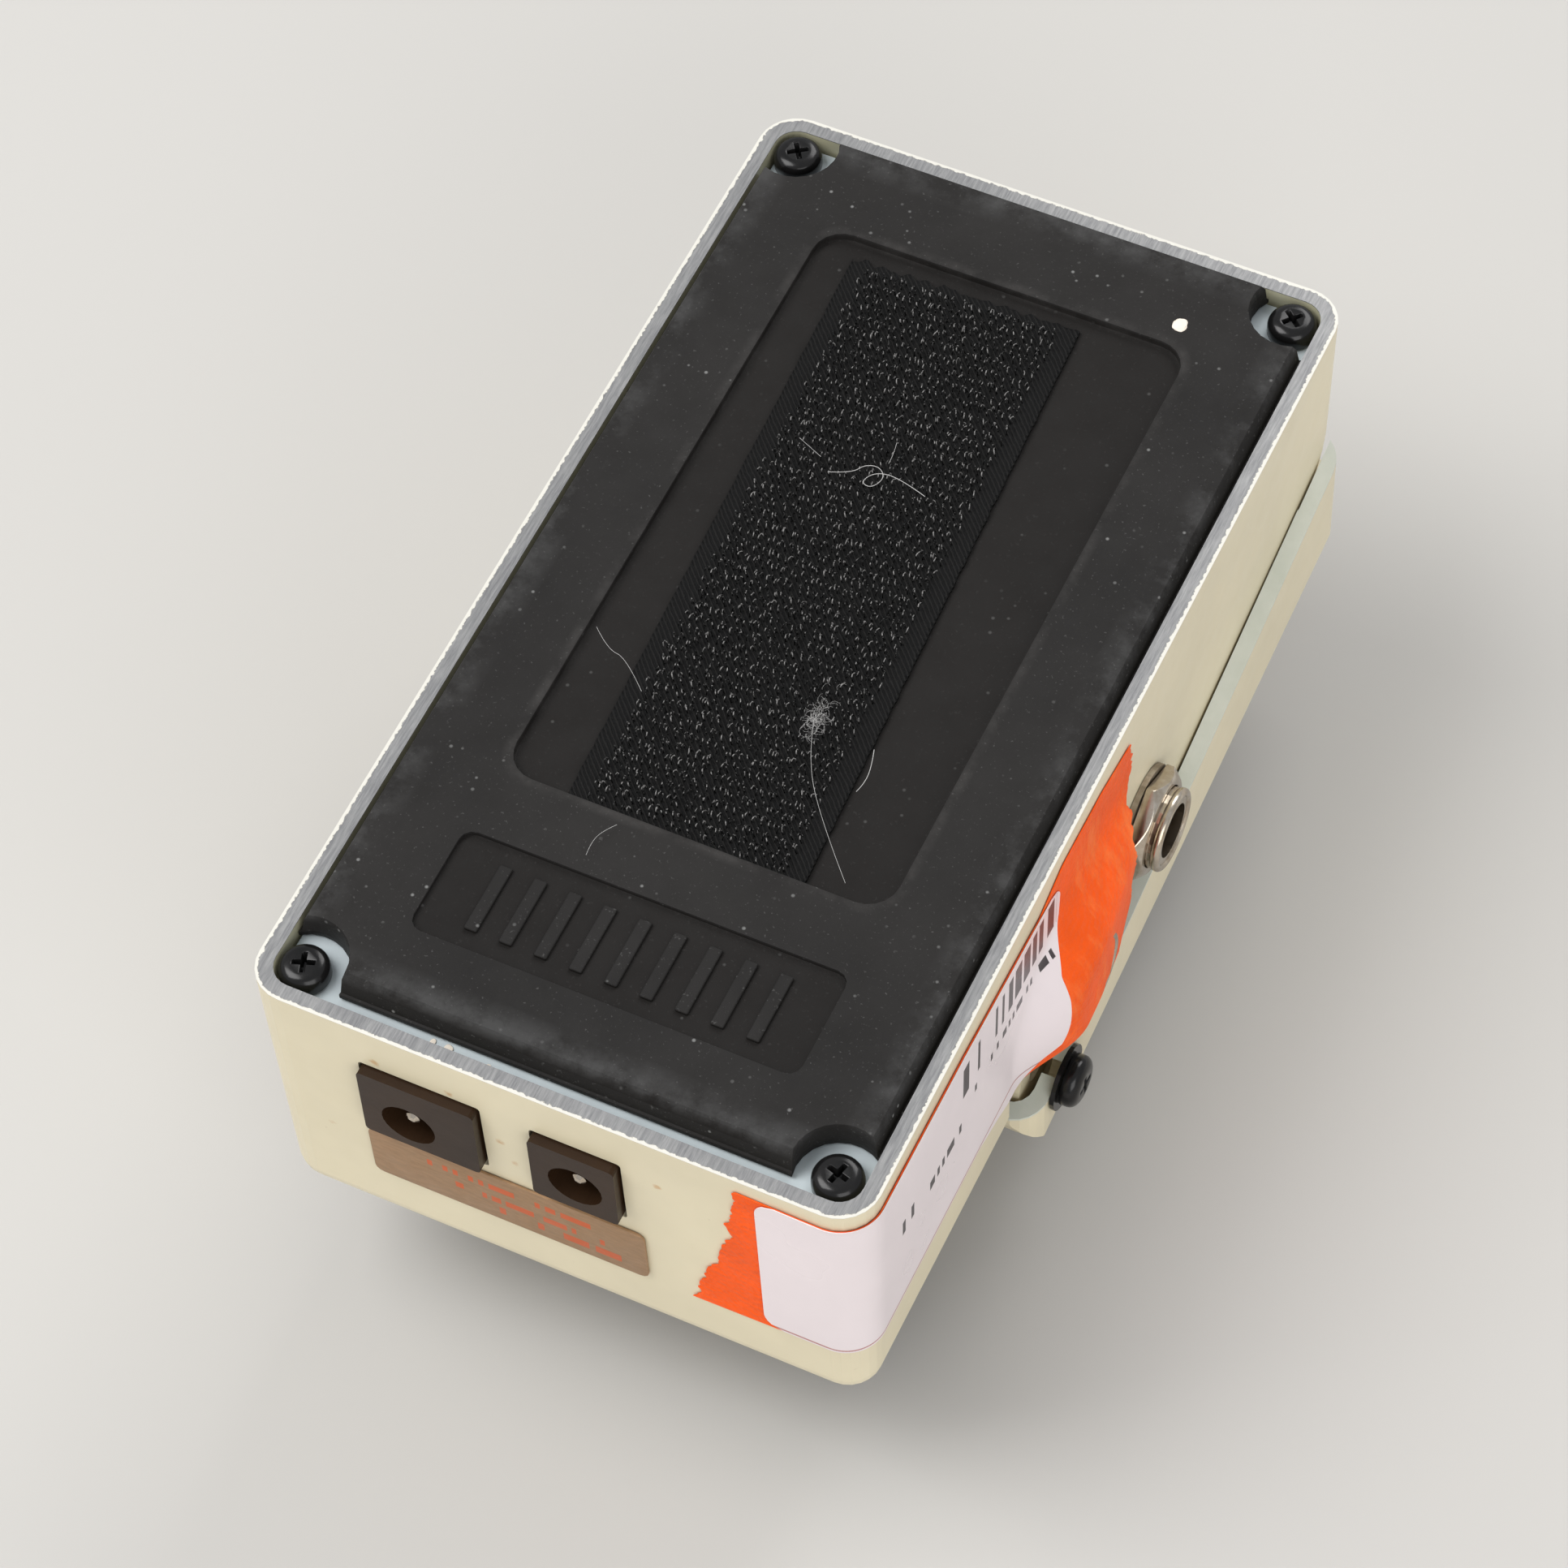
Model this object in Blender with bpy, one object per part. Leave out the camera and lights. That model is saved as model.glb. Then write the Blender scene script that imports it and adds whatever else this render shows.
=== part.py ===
"""Compact foot pedal housing, standing upside down on its knobs with the base facing up."""
import math

import bmesh
import bpy
from mathutils import Vector

MM = 0.001

# --- stored frame: z = 0 is the plane of the knob tops, the base looks to +Z ---
RIM_Z = 56.0          # height of the case rim above the knob tops
CASE_HALF_X = 35.0
CASE_HALF_Y = 64.0
CASE_CORNER = 4.5
WALL = 1.9
DRAFT = 0.0175        # inward lean of the case walls per mm of depth
DECK = 38.5           # depth of the control deck below the rim
DECK_EDGE = 2.5
DECK_FRONT = -27.0
SHELF = 31.2          # top of the shelf under the treadle
FRONT_SHELF = 25.5
STEP_Y = 44.2
WELL_FLOOR = 17.4     # battery well
BATTERY_THICK = 17.5
SHELF_T = 1.4

HINGE_Y = -18.0
HINGE_H = 39.5
NOSE_R = 7.5
TREADLE_HALF_X = 36.7
TREADLE_REAR = -25.5
TREADLE_FRONT = 61.9
TREADLE_T = 1.9
TOP_AT_0 = 44.9       # treadle top plane at y = 0
TOP_SLOPE = 0.12
SKIRT_AT_REAR = 37.96 # skirt rim at the hinge
SKIRT_SLOPE = 0.2057

JACK_Y = (7.0, -13.0)
JACK_H = 24.5
JACK_BORE = 3.2
DC_SOCKETS = (("left", -21.8, -8.4, 18.2, -16.4, 13.9), ("right", -2.2, 7.6, 17.4, 2.9, 12.7))
KNOB_X = (-23.0, 0.0, 23.0)
KNOB_Y = -46.0
LENS_Y = -32.0
SCREW_XY = ((-30.1, -59.1), (30.1, -59.1), (30.1, 59.1), (-30.1, 59.1))
THUMB_Y = 52.0
SWITCH_XY = (-14.0, 50.5)
SPRING_XY = (14.0, 50.5)
GAP = 0.3

COLOURS = {
    "paint": ((0.67, 0.60, 0.45, 1.0), 0.0, 0.4),
    "plate": ((0.45, 0.50, 0.56, 1.0), 0.9, 0.4),
    "rubber": ((0.03, 0.03, 0.03, 1.0), 0.0, 0.8),
    "strip": ((0.02, 0.02, 0.02, 1.0), 0.0, 0.95),
    "black_steel": ((0.02, 0.02, 0.02, 1.0), 0.8, 0.3),
    "nickel": ((0.75, 0.73, 0.70, 1.0), 1.0, 0.25),
    "black_plastic": ((0.03, 0.025, 0.02, 1.0), 0.0, 0.35),
    "gold_label": ((0.40, 0.27, 0.16, 1.0), 0.3, 0.45),
    "orange_vinyl": ((0.90, 0.12, 0.01, 1.0), 0.0, 0.45),
    "white_vinyl": ((0.78, 0.75, 0.78, 1.0), 0.0, 0.25),
    "board": ((0.10, 0.28, 0.12, 1.0), 0.0, 0.5),
    "battery_wrap": ((0.12, 0.12, 0.13, 1.0), 0.3, 0.4),
    "lens": ((0.55, 0.02, 0.02, 1.0), 0.0, 0.15),
    "name_plate": ((0.20, 0.20, 0.21, 1.0), 0.7, 0.4),
}


def material(key):
    mat = bpy.data.materials.get(key)
    if mat is None:
        mat = bpy.data.materials.new(key)
        mat.use_nodes = True
        shader = mat.node_tree.nodes["Principled BSDF"]
        base, metallic, rough = COLOURS[key]
        shader.inputs["Base Color"].default_value = base
        shader.inputs["Metallic"].default_value = metallic
        shader.inputs["Roughness"].default_value = rough
    return mat


def z_at(depth):
    """Height in the stored frame of a point this far below the rim."""
    return RIM_Z - depth


def make(name, verts, faces, key, smooth=False):
    """One mesh object from points in mm, with its faces turned outward."""
    mesh = bpy.data.meshes.new(name)
    mesh.from_pydata([[c * MM for c in v] for v in verts], [], faces)
    bm = bmesh.new()
    bm.from_mesh(mesh)
    bmesh.ops.recalc_face_normals(bm, faces=bm.faces)
    bm.to_mesh(mesh)
    bm.free()
    for poly in mesh.polygons:
        poly.use_smooth = smooth
    obj = bpy.data.objects.new(name, mesh)
    bpy.context.collection.objects.link(obj)
    mesh.materials.append(material(key))
    return obj


def loft(rings):
    """Vertices and faces of a closed stack of rings with flat ends."""
    count = len(rings[0])
    verts = [p for ring in rings for p in ring]
    faces = [list(range(count)), list(range(len(verts) - count, len(verts)))]
    for k in range(len(rings) - 1):
        for i in range(count):
            j = (i + 1) % count
            faces.append([k * count + i, k * count + j, (k + 1) * count + j, (k + 1) * count + i])
    return verts, faces


def merge(shells):
    """Several closed shells as one list of vertices and faces."""
    verts, faces = [], []
    for shell_verts, shell_faces in shells:
        base = len(verts)
        verts.extend(shell_verts)
        faces.extend([[base + i for i in face] for face in shell_faces])
    return verts, faces


def arc(cx, cy, radius, start, end, steps):
    """Points on an arc, angles in degrees, both ends included."""
    points = []
    for i in range(steps + 1):
        a = math.radians(start + (end - start) * i / steps)
        points.append((cx + radius * math.cos(a), cy + radius * math.sin(a)))
    return points


def rounded(x0, x1, y0, y1, radius, steps=5):
    out = []
    for cx, cy, start in ((x1 - radius, y1 - radius, 0), (x0 + radius, y1 - radius, 90),
                          (x0 + radius, y0 + radius, 180), (x1 - radius, y0 + radius, 270)):
        out += arc(cx, cy, radius, start, start + 90, steps)
    return out


def prism_z(outline, depth0, depth1):
    return loft([[(x, y, z_at(d)) for x, y in outline] for d in (depth0, depth1)])


def prism_x(outline, x0, x1):
    """Outline in (y, depth), extruded along X."""
    return loft([[(x, y, z_at(d)) for y, d in outline] for x in (x0, x1)])


def lathe(profile, place, steps, ring=False):
    """Turned shape. The profile is (radius, distance along the axis) and place maps to points."""
    verts, rows = [], []
    for radius, along in profile:
        if radius < 1e-6:
            rows.append([len(verts)] * steps)
            verts.append(place(0.0, 0.0, along))
            continue
        rows.append(list(range(len(verts), len(verts) + steps)))
        for i in range(steps):
            a = 2 * math.pi * i / steps
            verts.append(place(radius * math.cos(a), radius * math.sin(a), along))
    faces = []
    pairs = list(zip(rows, rows[1:]))
    if ring:
        pairs.append((rows[-1], rows[0]))
    for low, high in pairs:
        for i in range(steps):
            j = (i + 1) % steps
            face = []
            for v in (low[i], low[j], high[j], high[i]):
                if v not in face:
                    face.append(v)
            if len(face) > 2:
                faces.append(face)
    return verts, faces


def upright(x, y):
    """Placement for a turned shape on a vertical axis, measured in depth below the rim."""
    return lambda u, v, depth: (x + u, y + v, z_at(depth))


def sideways(y, depth, sign):
    """Placement for a turned shape on an X axis, measured outward from the middle plane."""
    return lambda u, v, out: (sign * out, y + u, z_at(depth) + v)


def rearward(x, depth):
    """Placement for a turned shape on a Y axis."""
    return lambda u, v, y: (x + u, y, z_at(depth) + v)


def cutter(name, shell):
    obj = make(name, shell[0], shell[1], "paint")
    obj.hide_render = True
    obj.display_type = "WIRE"
    return obj


def combine(obj, tool, operation):
    mod = obj.modifiers.new(tool.name, "BOOLEAN")
    mod.operation = operation
    mod.solver = "EXACT"
    mod.object = tool


def smooth_by_angle(obj):
    obj.data.set_sharp_from_angle(angle=math.radians(35))
    for poly in obj.data.polygons:
        poly.use_smooth = True


# ------------------------------------------------------------------ case

def case_ring(depth, inset, grow=0.0):
    half_x = CASE_HALF_X - inset + grow
    half_y = CASE_HALF_Y - inset + grow
    radius = max(CASE_CORNER - inset + grow, 0.8)
    return [(x, y, z_at(depth)) for x, y in rounded(-half_x, half_x, -half_y, half_y, radius, 6)]


def case_outer():
    start = DECK - DECK_EDGE
    rings = [case_ring(0.0, 0.0)]
    for i in range(5):
        a = math.radians(90 * i / 4)
        rings.append(case_ring(start + DECK_EDGE * math.sin(a),
                               DRAFT * start + DECK_EDGE * (1 - math.cos(a))))
    return loft(rings)


def case_profile():
    return [(-70, -1), (66, -1), (66, 11.5), (62, 18), (59.4, 21.6), (57.7, 24.2),
            (57.7, FRONT_SHELF), (STEP_Y, FRONT_SHELF), (STEP_Y, SHELF), (DECK_FRONT, SHELF),
            (DECK_FRONT, 45), (-70, 45)]


def case_cavity():
    deep = 45.0
    rings = [case_ring(-1.0, WALL - DRAFT), case_ring(deep, WALL + DRAFT * deep)]
    cavity = cutter("cut_cavity", loft(rings))
    under_step = STEP_Y - SHELF_T
    profile = [(-70, -3), (70, -3), (70, 1.4), (60.4, 17.0), (57.8, 20.5), (55.9, 23.4),
               (55.9, FRONT_SHELF - SHELF_T), (under_step, FRONT_SHELF - SHELF_T),
               (under_step, SHELF - SHELF_T), (DECK_FRONT - 1.8, SHELF - SHELF_T),
               (DECK_FRONT - 1.8, DECK - 1.8), (-70, DECK - 1.8)]
    shape = cutter("cut_cavity_profile", prism_x(profile, -40, 40))
    combine(cavity, shape, "INTERSECT")
    return cavity


def lug(sign):
    """Ear of the case that holds the hinge screw."""
    outline = [(-17.4, 30.6), (-12.6, 30.6)] + arc(HINGE_Y, HINGE_H, 4.8, -12, 262, 12)
    outline.append((-17.4, HINGE_H - 4.6))
    x0, x1 = sorted((sign * 30.8, sign * 33.6))
    return prism_x(outline, x0, x1)


def case_additions():
    shells = [lug(-1), lug(1)]
    shells.append(prism_z(rounded(-15.5, 15.5, -10.1, 43.9, 1.5, 3), WELL_FLOOR - 1.3, SHELF - 0.7))
    for x, y in SCREW_XY:
        shells.append(prism_z(arc(x, y, 3.3, 0, 345, 23), 3.7, 14.5))
    shells.append(prism_z(arc(0, THUMB_Y, 5.2, 0, 345, 23), FRONT_SHELF - 0.7, 27.5))
    return cutter("add_case", merge(shells))


def case_holes():
    shells = [prism_z(rounded(-14.2, 14.2, -8.8, 42.6, 1.0, 3), WELL_FLOOR, 33.0)]
    for x, y in SCREW_XY:
        shells.append(prism_z(arc(x, y, 1.5, 0, 330, 11), 1.0, 13.5))
    shells.append(prism_z(arc(0, THUMB_Y, 3.7, 0, 345, 23), 22.0, 29.0))
    for sign in (-1, 1):
        for y in JACK_Y:
            shells.append(lathe([(0, 31.5), (5.0, 31.5), (5.0, 36.5), (0, 36.5)],
                                sideways(y, JACK_H, sign), 24))
        shells.append(lathe([(0, 30.0), (1.8, 30.0), (1.8, 35.0), (0, 35.0)],
                            sideways(HINGE_Y, HINGE_H, sign), 16))
    for _, x0, x1, low, _, _ in DC_SOCKETS:
        outline = rounded(x0 - 0.3, x1 + 0.3, 6.6, low + 0.3, 0.4, 2)
        shells.append(loft([[(x, y, z_at(d)) for x, d in outline] for y in (-66.0, -61.0)]))
    for x in KNOB_X:
        shells.append(prism_z(arc(x, KNOB_Y, 4.5, 0, 345, 23), 35.5, 40.0))
    shells.append(prism_z(arc(0, LENS_Y, 2.8, 0, 340, 17), 35.5, 40.0))
    return cutter("cut_case_holes", merge(shells))


def build_case():
    verts, faces = case_outer()
    case = make("case", verts, faces, "paint")
    profile = cutter("cut_case_profile", prism_x(case_profile(), -40, 40))
    combine(case, profile, "INTERSECT")
    combine(case, case_cavity(), "DIFFERENCE")
    combine(case, case_additions(), "UNION")
    combine(case, case_holes(), "DIFFERENCE")
    smooth_by_angle(case)


# ------------------------------------------------------------------ base

def build_base_plate():
    plate = make("base_plate", *prism_z(rounded(-32.7, 32.7, -61.7, 61.7, 2.8, 5), 2.2, 3.4), "plate")
    holes = [prism_z(arc(x, y, 1.7, 0, 337.5, 15), 1.0, 5.0) for x, y in SCREW_XY]
    combine(plate, cutter("cut_plate_holes", merge(holes)), "DIFFERENCE")


def notched(half_x, rear, front, radius):
    """Base outline with a round notch at each screw."""
    points = []
    for sx, sy, edge in ((1, 1, front), (-1, 1, front), (-1, -1, -rear), (1, -1, -rear)):
        cx, cy = SCREW_XY[2]
        side = -math.degrees(math.acos((half_x - cx) / radius))
        end = -180 - math.degrees(math.asin((edge - cy) / radius))
        bite = [(sx * x, sy * y) for x, y in arc(cx, cy, radius, side, end, 9)]
        points += bite if sx * sy > 0 else bite[::-1]
    return points


def build_rubber_base():
    levels = ((1.9, 32.9, -60.3, 61.8, 4.7), (1.3, 32.9, -60.3, 61.8, 4.7),
              (1.2, 32.6, -60.0, 61.6, 4.7), (-0.7, 32.3, -59.6, 61.4, 4.75),
              (-1.5, 31.9, -59.0, 61.0, 4.9))
    rings = []
    for depth, half_x, rear, front, radius in levels:
        rings.append([(x, y, z_at(depth)) for x, y in notched(half_x, rear, front, radius)])
    base = make("rubber_base", *loft(rings), "rubber")
    shells = [prism_z(rounded(-22, 22, -30.2, 49.5, 3.5, 5), -3.0, -0.5),
              prism_z(rounded(-22, 22, -51.5, -38.4, 1.5, 3), -3.0, -0.9)]
    combine(base, cutter("cut_base_recesses", merge(shells)), "DIFFERENCE")


def build_hook_strip():
    outline = [(-14.5, -29.9), (12.7, -29.9), (9.7, 47.5), (-17.5, 46.8)]
    make("hook_strip", *prism_z(outline, -2.6, -0.6), "strip")


def build_base_screws():
    profile = [(0, 13.0), (1.1, 12.6), (1.35, 12.0), (1.35, 2.1), (2.75, 2.1), (2.75, 0.9),
               (2.5, 0.2), (1.9, -0.2), (0.9, -0.3), (0.55, 0.7), (0, 0.9)]
    for i, (x, y) in enumerate(SCREW_XY):
        make(f"base_screw_{i + 1}", *lathe(profile, upright(x, y), 20), "black_steel", True)


# ------------------------------------------------------------------ treadle

def treadle_side(inset):
    """Side outline of the treadle in (y, depth), moved inward by inset."""
    radius = NOSE_R - inset
    front = TREADLE_FRONT - inset
    points = [(HINGE_Y - radius, 20.0)]
    points += arc(HINGE_Y, HINGE_H, radius, 180, 90, 7)
    top = TOP_AT_0 - inset
    round_r = 7.0 - inset
    corner_h = top - TOP_SLOPE * front
    points += arc(front - round_r, corner_h - round_r + 0.8, round_r, 84, 0, 6)
    points.append((front, 20.0))
    return points


def slanted(outline, y0, y1, lift=0.0):
    """Outline in (x, height above the treadle's top plane), swept along its slope."""
    rings = []
    for y in (y0, y1):
        depth = TOP_AT_0 - TOP_SLOPE * y + lift
        rings.append([(x, y, z_at(depth + t)) for x, t in outline])
    return loft(rings)


def build_treadle():
    outline = rounded(-TREADLE_HALF_X, TREADLE_HALF_X, TREADLE_REAR, TREADLE_FRONT, 4.0, 6)
    treadle = make("treadle", *prism_z(outline, 15.0, 50.0), "paint")
    combine(treadle, cutter("cut_treadle_side", prism_x(treadle_side(0.0), -40, 40)), "INTERSECT")
    edge = 3.0
    half = TREADLE_HALF_X + 0.01
    cross = [(half, -35), (half, -edge)] + arc(half - edge, -edge, edge, 0, 90, 5)[1:]
    cross += arc(-half + edge, -edge, edge, 90, 180, 5) + [(-half, -35)]
    combine(treadle, cutter("cut_treadle_cross", slanted(cross, -40, 80)), "INTERSECT")
    inner = TREADLE_HALF_X - TREADLE_T
    cavity = cutter("cut_treadle_cavity",
                    prism_z(rounded(-inner, inner, TREADLE_REAR + TREADLE_T, TREADLE_FRONT - TREADLE_T,
                                    2.4, 4), 10.0, 60.0))
    combine(cavity, cutter("cut_treadle_inside", prism_x(treadle_side(TREADLE_T), -38, 38)), "INTERSECT")
    combine(treadle, cavity, "DIFFERENCE")
    skirt = [(-40, 5), (75, 5), (75, SKIRT_AT_REAR - SKIRT_SLOPE * (75 - HINGE_Y)),
             (-40, SKIRT_AT_REAR - SKIRT_SLOPE * (-40 - HINGE_Y))]
    shells = [prism_x(skirt, -41, 41)]
    combine(treadle, cutter("cut_treadle_skirt", merge(shells)), "DIFFERENCE")
    notch = [(52.0, 4.0), (70.0, 4.0), (70.0, 26.5), (52.0, 26.5)]
    combine(treadle, cutter("cut_treadle_front", prism_x(notch, -34.9, 34.9)), "DIFFERENCE")
    post = prism_z(arc(*SWITCH_XY, 3.0, 0, 340, 17), 34.17, 38.0)
    combine(treadle, cutter("add_treadle_post", post), "UNION")
    holes = [prism_z(arc(0, THUMB_Y, 2.6, 0, 340, 17), 30.0, 45.0)]
    for sign in (-1, 1):
        holes.append(lathe([(0, 33.0), (1.8, 33.0), (1.8, 38.0), (0, 38.0)],
                           sideways(HINGE_Y, HINGE_H, sign), 16))
    combine(treadle, cutter("cut_treadle_holes", merge(holes)), "DIFFERENCE")
    smooth_by_angle(treadle)


def build_treadle_pad():
    plates = (("treadle_pad", 31.5, 2.0, 44.0, 1.6, 3.0, "rubber"),
              ("name_plate", 29.0, -14.0, -1.5, 0.6, 1.2, "name_plate"))
    for name, half, y0, y1, thick, radius, key in plates:
        rings = []
        for lift in (0.1, 0.1 + thick):
            ring = []
            for x, y in rounded(-half, half, y0, y1, radius, 4):
                ring.append((x, y, z_at(TOP_AT_0 - TOP_SLOPE * y + lift)))
            rings.append(ring)
        make(name, *loft(rings), key)


def build_hinge_screws():
    head = [(0, 31.5), (1.5, 31.7), (1.5, 37.5), (3.3, 37.5), (3.3, 38.5), (2.9, 39.3), (2.0, 39.8),
            (0.9, 39.9), (0.5, 39.2), (0, 39.0)]
    washer = [(1.75, 36.85), (3.9, 36.85), (3.9, 37.35), (1.75, 37.35)]
    for side, sign in (("left", -1), ("right", 1)):
        place = sideways(HINGE_Y, HINGE_H, sign)
        make(f"hinge_screw_{side}", *lathe(head, place, 24), "black_steel", True)
        make(f"hinge_washer_{side}", *lathe(washer, place, 24, True), "black_steel")


def build_thumbscrew():
    steps = 36
    profile = [(0, 26.2), (1.6, 26.2), (2.0, 26.7), (2.0, 39.5), (5.2, 39.5), (5.5, 39.8), (5.5, 43.0),
               (5.0, 43.5), (0, 43.5)]
    verts, faces = lathe(profile, upright(0, THUMB_Y), steps)
    knurled = []
    for i, (x, y, z) in enumerate(verts):
        radius = math.hypot(x, y - THUMB_Y)
        if radius > 5.1 and i % 2:
            scale = (radius - 0.35) / radius
            x, y = x * scale, THUMB_Y + (y - THUMB_Y) * scale
        knurled.append((x, y, z))
    make("thumbscrew", knurled, faces, "black_plastic")


def build_spring():
    x, y = SPRING_XY
    seat = [(0, 25.6), (5.5, 25.6), (5.5, 27.8), (4.8, 27.8), (4.8, 26.9), (0, 26.9)]
    make("spring_seat", *lathe(seat, upright(x, y), 24), "black_plastic", True)
    turns, steps, wire, radius = 4, 14, 0.5, 3.9
    low, high, sides = 27.0 + wire, 36.2 - wire, 6
    rings = []
    for i in range(turns * steps + 1):
        a = 2 * math.pi * i / steps
        depth = low + (high - low) * i / (turns * steps)
        ring = []
        for k in range(sides):
            b = 2 * math.pi * k / sides
            r = radius + wire * math.cos(b)
            ring.append((x + r * math.cos(a), y + r * math.sin(a), z_at(depth + wire * math.sin(b))))
        rings.append(ring)
    make("treadle_spring", *loft(rings), "nickel", True)


def build_foot_switch():
    x, y = SWITCH_XY
    make("foot_switch", *prism_z(rounded(x - 4, x + 4, y - 4, y + 4, 0.6, 2), 25.7, 29.5), "black_plastic")
    make("switch_button", *prism_z(arc(x, y, 2.2, 0, 340, 17), 29.95, 31.5), "rubber")


# ------------------------------------------------------------------ inside

def build_battery():
    rings = []
    for y, inset in ((-8.4, 0.5), (-7.9, 0.0), (37.6, 0.0), (38.1, 0.5)):
        outline = rounded(-13.2 + inset, 13.2 - inset, WELL_FLOOR + 0.3 + inset,
                          WELL_FLOOR + 0.3 + BATTERY_THICK - inset, 1.2, 3)
        rings.append([(x, y, z_at(d)) for x, d in outline])
    make("battery", *loft(rings), "battery_wrap")
    outline = rounded(-12.6, 12.6, WELL_FLOOR + 2.4, WELL_FLOOR + 15.9, 2.0, 3)
    make("battery_snap", *loft([[(x, y, z_at(d)) for x, d in outline] for y in (38.4, 41.8)]),
         "black_plastic")


def build_board():
    make("circuit_board", *prism_z(rounded(-31, 31, -50, 54, 1.5, 3), WELL_FLOOR - 3.5, WELL_FLOOR - 1.9),
         "board")


def build_controls():
    for i, x in enumerate(KNOB_X):
        body = prism_z(rounded(x - 5, x + 5, KNOB_Y - 5.5, KNOB_Y + 5.5, 0.5, 1), 29.6, 36.4)
        pot = make(f"control_body_{i + 1}", *body, "black_plastic")
        neck = lathe([(0, 36.0), (4.2, 36.0), (4.2, 40.6), (0, 40.6)], upright(x, KNOB_Y), 20)
        combine(pot, cutter(f"add_neck_{i + 1}", neck), "UNION")
        bore = lathe([(0, 32.5), (3.08, 32.5), (3.08, 42.0), (0, 42.0)], upright(x, KNOB_Y), 20)
        combine(pot, cutter(f"cut_bore_{i + 1}", bore), "DIFFERENCE")
        shaft = [(0, 33.0), (3.0, 33.0), (3.0, 51.7), (2.7, 52.0), (0, 52.0)]
        make(f"control_shaft_{i + 1}", *lathe(shaft, upright(x, KNOB_Y), 20), "nickel", True)
        knob = [(3.15, 41.0), (6.9, 41.0), (7.0, 41.4), (7.0, 43.5), (6.4, 44.3), (6.1, 55.2),
                (5.4, 56.0), (0, 56.0)]
        inside = [(0, 52.3), (3.15, 52.3)]
        verts, faces = lathe(knob + inside, upright(x, KNOB_Y), 32, True)
        make(f"knob_{i + 1}", verts, faces, "black_plastic")
    lens = [(0, 34.5), (2.5, 34.5), (2.5, 39.0), (2.0, 40.0), (1.0, 40.6), (0, 40.7)]
    make("led_lens", *lathe(lens, upright(0, LENS_Y), 18), "lens", True)


def build_jacks():
    washer = [(4.85, 34.75), (6.5, 34.75), (6.5, 35.4), (4.85, 35.4)]
    for side, sign in (("left", -1), ("right", 1)):
        for i, y in enumerate(JACK_Y):
            tag = f"{side}_{i + 1}"
            place = sideways(y, JACK_H, sign)
            outline = rounded(y - 4.8, y + 4.8, JACK_H - 4.8, JACK_H + 4.8, 0.6, 2)
            x0, x1 = sorted((sign * 16.2, sign * 32.2))
            jack = make(f"jack_body_{tag}", *prism_x(outline, x0, x1), "black_plastic")
            bushing = lathe([(0, 31.8), (4.7, 31.8), (4.7, 38.4), (4.4, 38.7), (0, 38.7)], place, 24)
            combine(jack, cutter(f"add_bushing_{tag}", bushing), "UNION")
            bore = lathe([(0, 18.5), (JACK_BORE, 18.5), (JACK_BORE, 40.0), (0, 40.0)], place, 24)
            combine(jack, cutter(f"cut_jack_{tag}", bore), "DIFFERENCE")
            make(f"jack_washer_{tag}", *lathe(washer, place, 28, True), "nickel", False)
            corner = 6.0 / math.cos(math.radians(30))
            hexagon = arc(y, JACK_H, corner, 0, 300, 5)
            nut = make(f"jack_nut_{tag}", *prism_x(hexagon, *sorted((sign * 35.5, sign * 37.9))), "nickel")
            hole = lathe([(0, 34.0), (4.85, 34.0), (4.85, 40.0), (0, 40.0)], place, 24)
            combine(nut, cutter(f"cut_nut_{tag}", hole), "DIFFERENCE")


def build_dc_sockets():
    for side, x0, x1, low, cx, depth in DC_SOCKETS:
        outline = rounded(x0, x1, 6.9, low, 0.5, 2)
        rings = [[(x, y, z_at(d)) for x, d in outline] for y in (-65.0, -52.0)]
        socket = make(f"dc_socket_{side}", *loft(rings), "black_plastic")
        bore = lathe([(0, -66.0), (3.1, -66.0), (3.1, -56.0), (0, -56.0)], rearward(cx, depth), 24)
        combine(socket, cutter(f"cut_dc_{side}", bore), "DIFFERENCE")
        pin = [(0, -56.1), (1.0, -56.1), (1.0, -63.4), (0.8, -64.0), (0.4, -64.3), (0, -64.4)]
        make(f"dc_pin_{side}", *lathe(pin, rearward(cx, depth), 14), "nickel", True)


# ------------------------------------------------------------------ labels

def wall_point(along, depth, offset):
    """Point on the rear and right walls. along runs round the corner from x = 0 to the front."""
    inset = DRAFT * depth - offset
    half_x = CASE_HALF_X - inset
    half_y = CASE_HALF_Y - inset
    radius = CASE_CORNER - inset
    straight = CASE_HALF_X - CASE_CORNER
    bend = CASE_CORNER * math.pi / 2
    if along < straight:
        return (along, -half_y, z_at(depth))
    if along < straight + bend:
        a = (along - straight) / CASE_CORNER
        return (half_x - radius + radius * math.sin(a),
                -half_y + radius - radius * math.cos(a), z_at(depth))
    y = -CASE_HALF_Y + CASE_CORNER + (along - straight - bend)
    return (half_x, y, z_at(depth))


CORNER_RUN = CASE_HALF_X - CASE_CORNER + CASE_CORNER * math.pi / 2 - (CASE_CORNER - CASE_HALF_Y)


def along_at(y):
    """Distance along the wall of a point on the right side."""
    return CORNER_RUN + y


def bulge(along, depth):
    """How far the stickers stand off where they cover the rear jack."""
    reach = math.hypot(along - along_at(JACK_Y[1]), depth - JACK_H)
    if reach < 7.6:
        return 4.6
    if reach > 17.0:
        return 0.0
    t = (17.0 - reach) / 9.4
    return 4.6 * t * t * (3 - 2 * t)


def blend(table, t):
    """Straight-line reading of a short table of (key, value) pairs."""
    for (a, va), (b, vb) in zip(table, table[1:]):
        if t <= b:
            return va + (vb - va) * max(0.0, (t - a) / (b - a))
    return table[-1][1]


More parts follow.
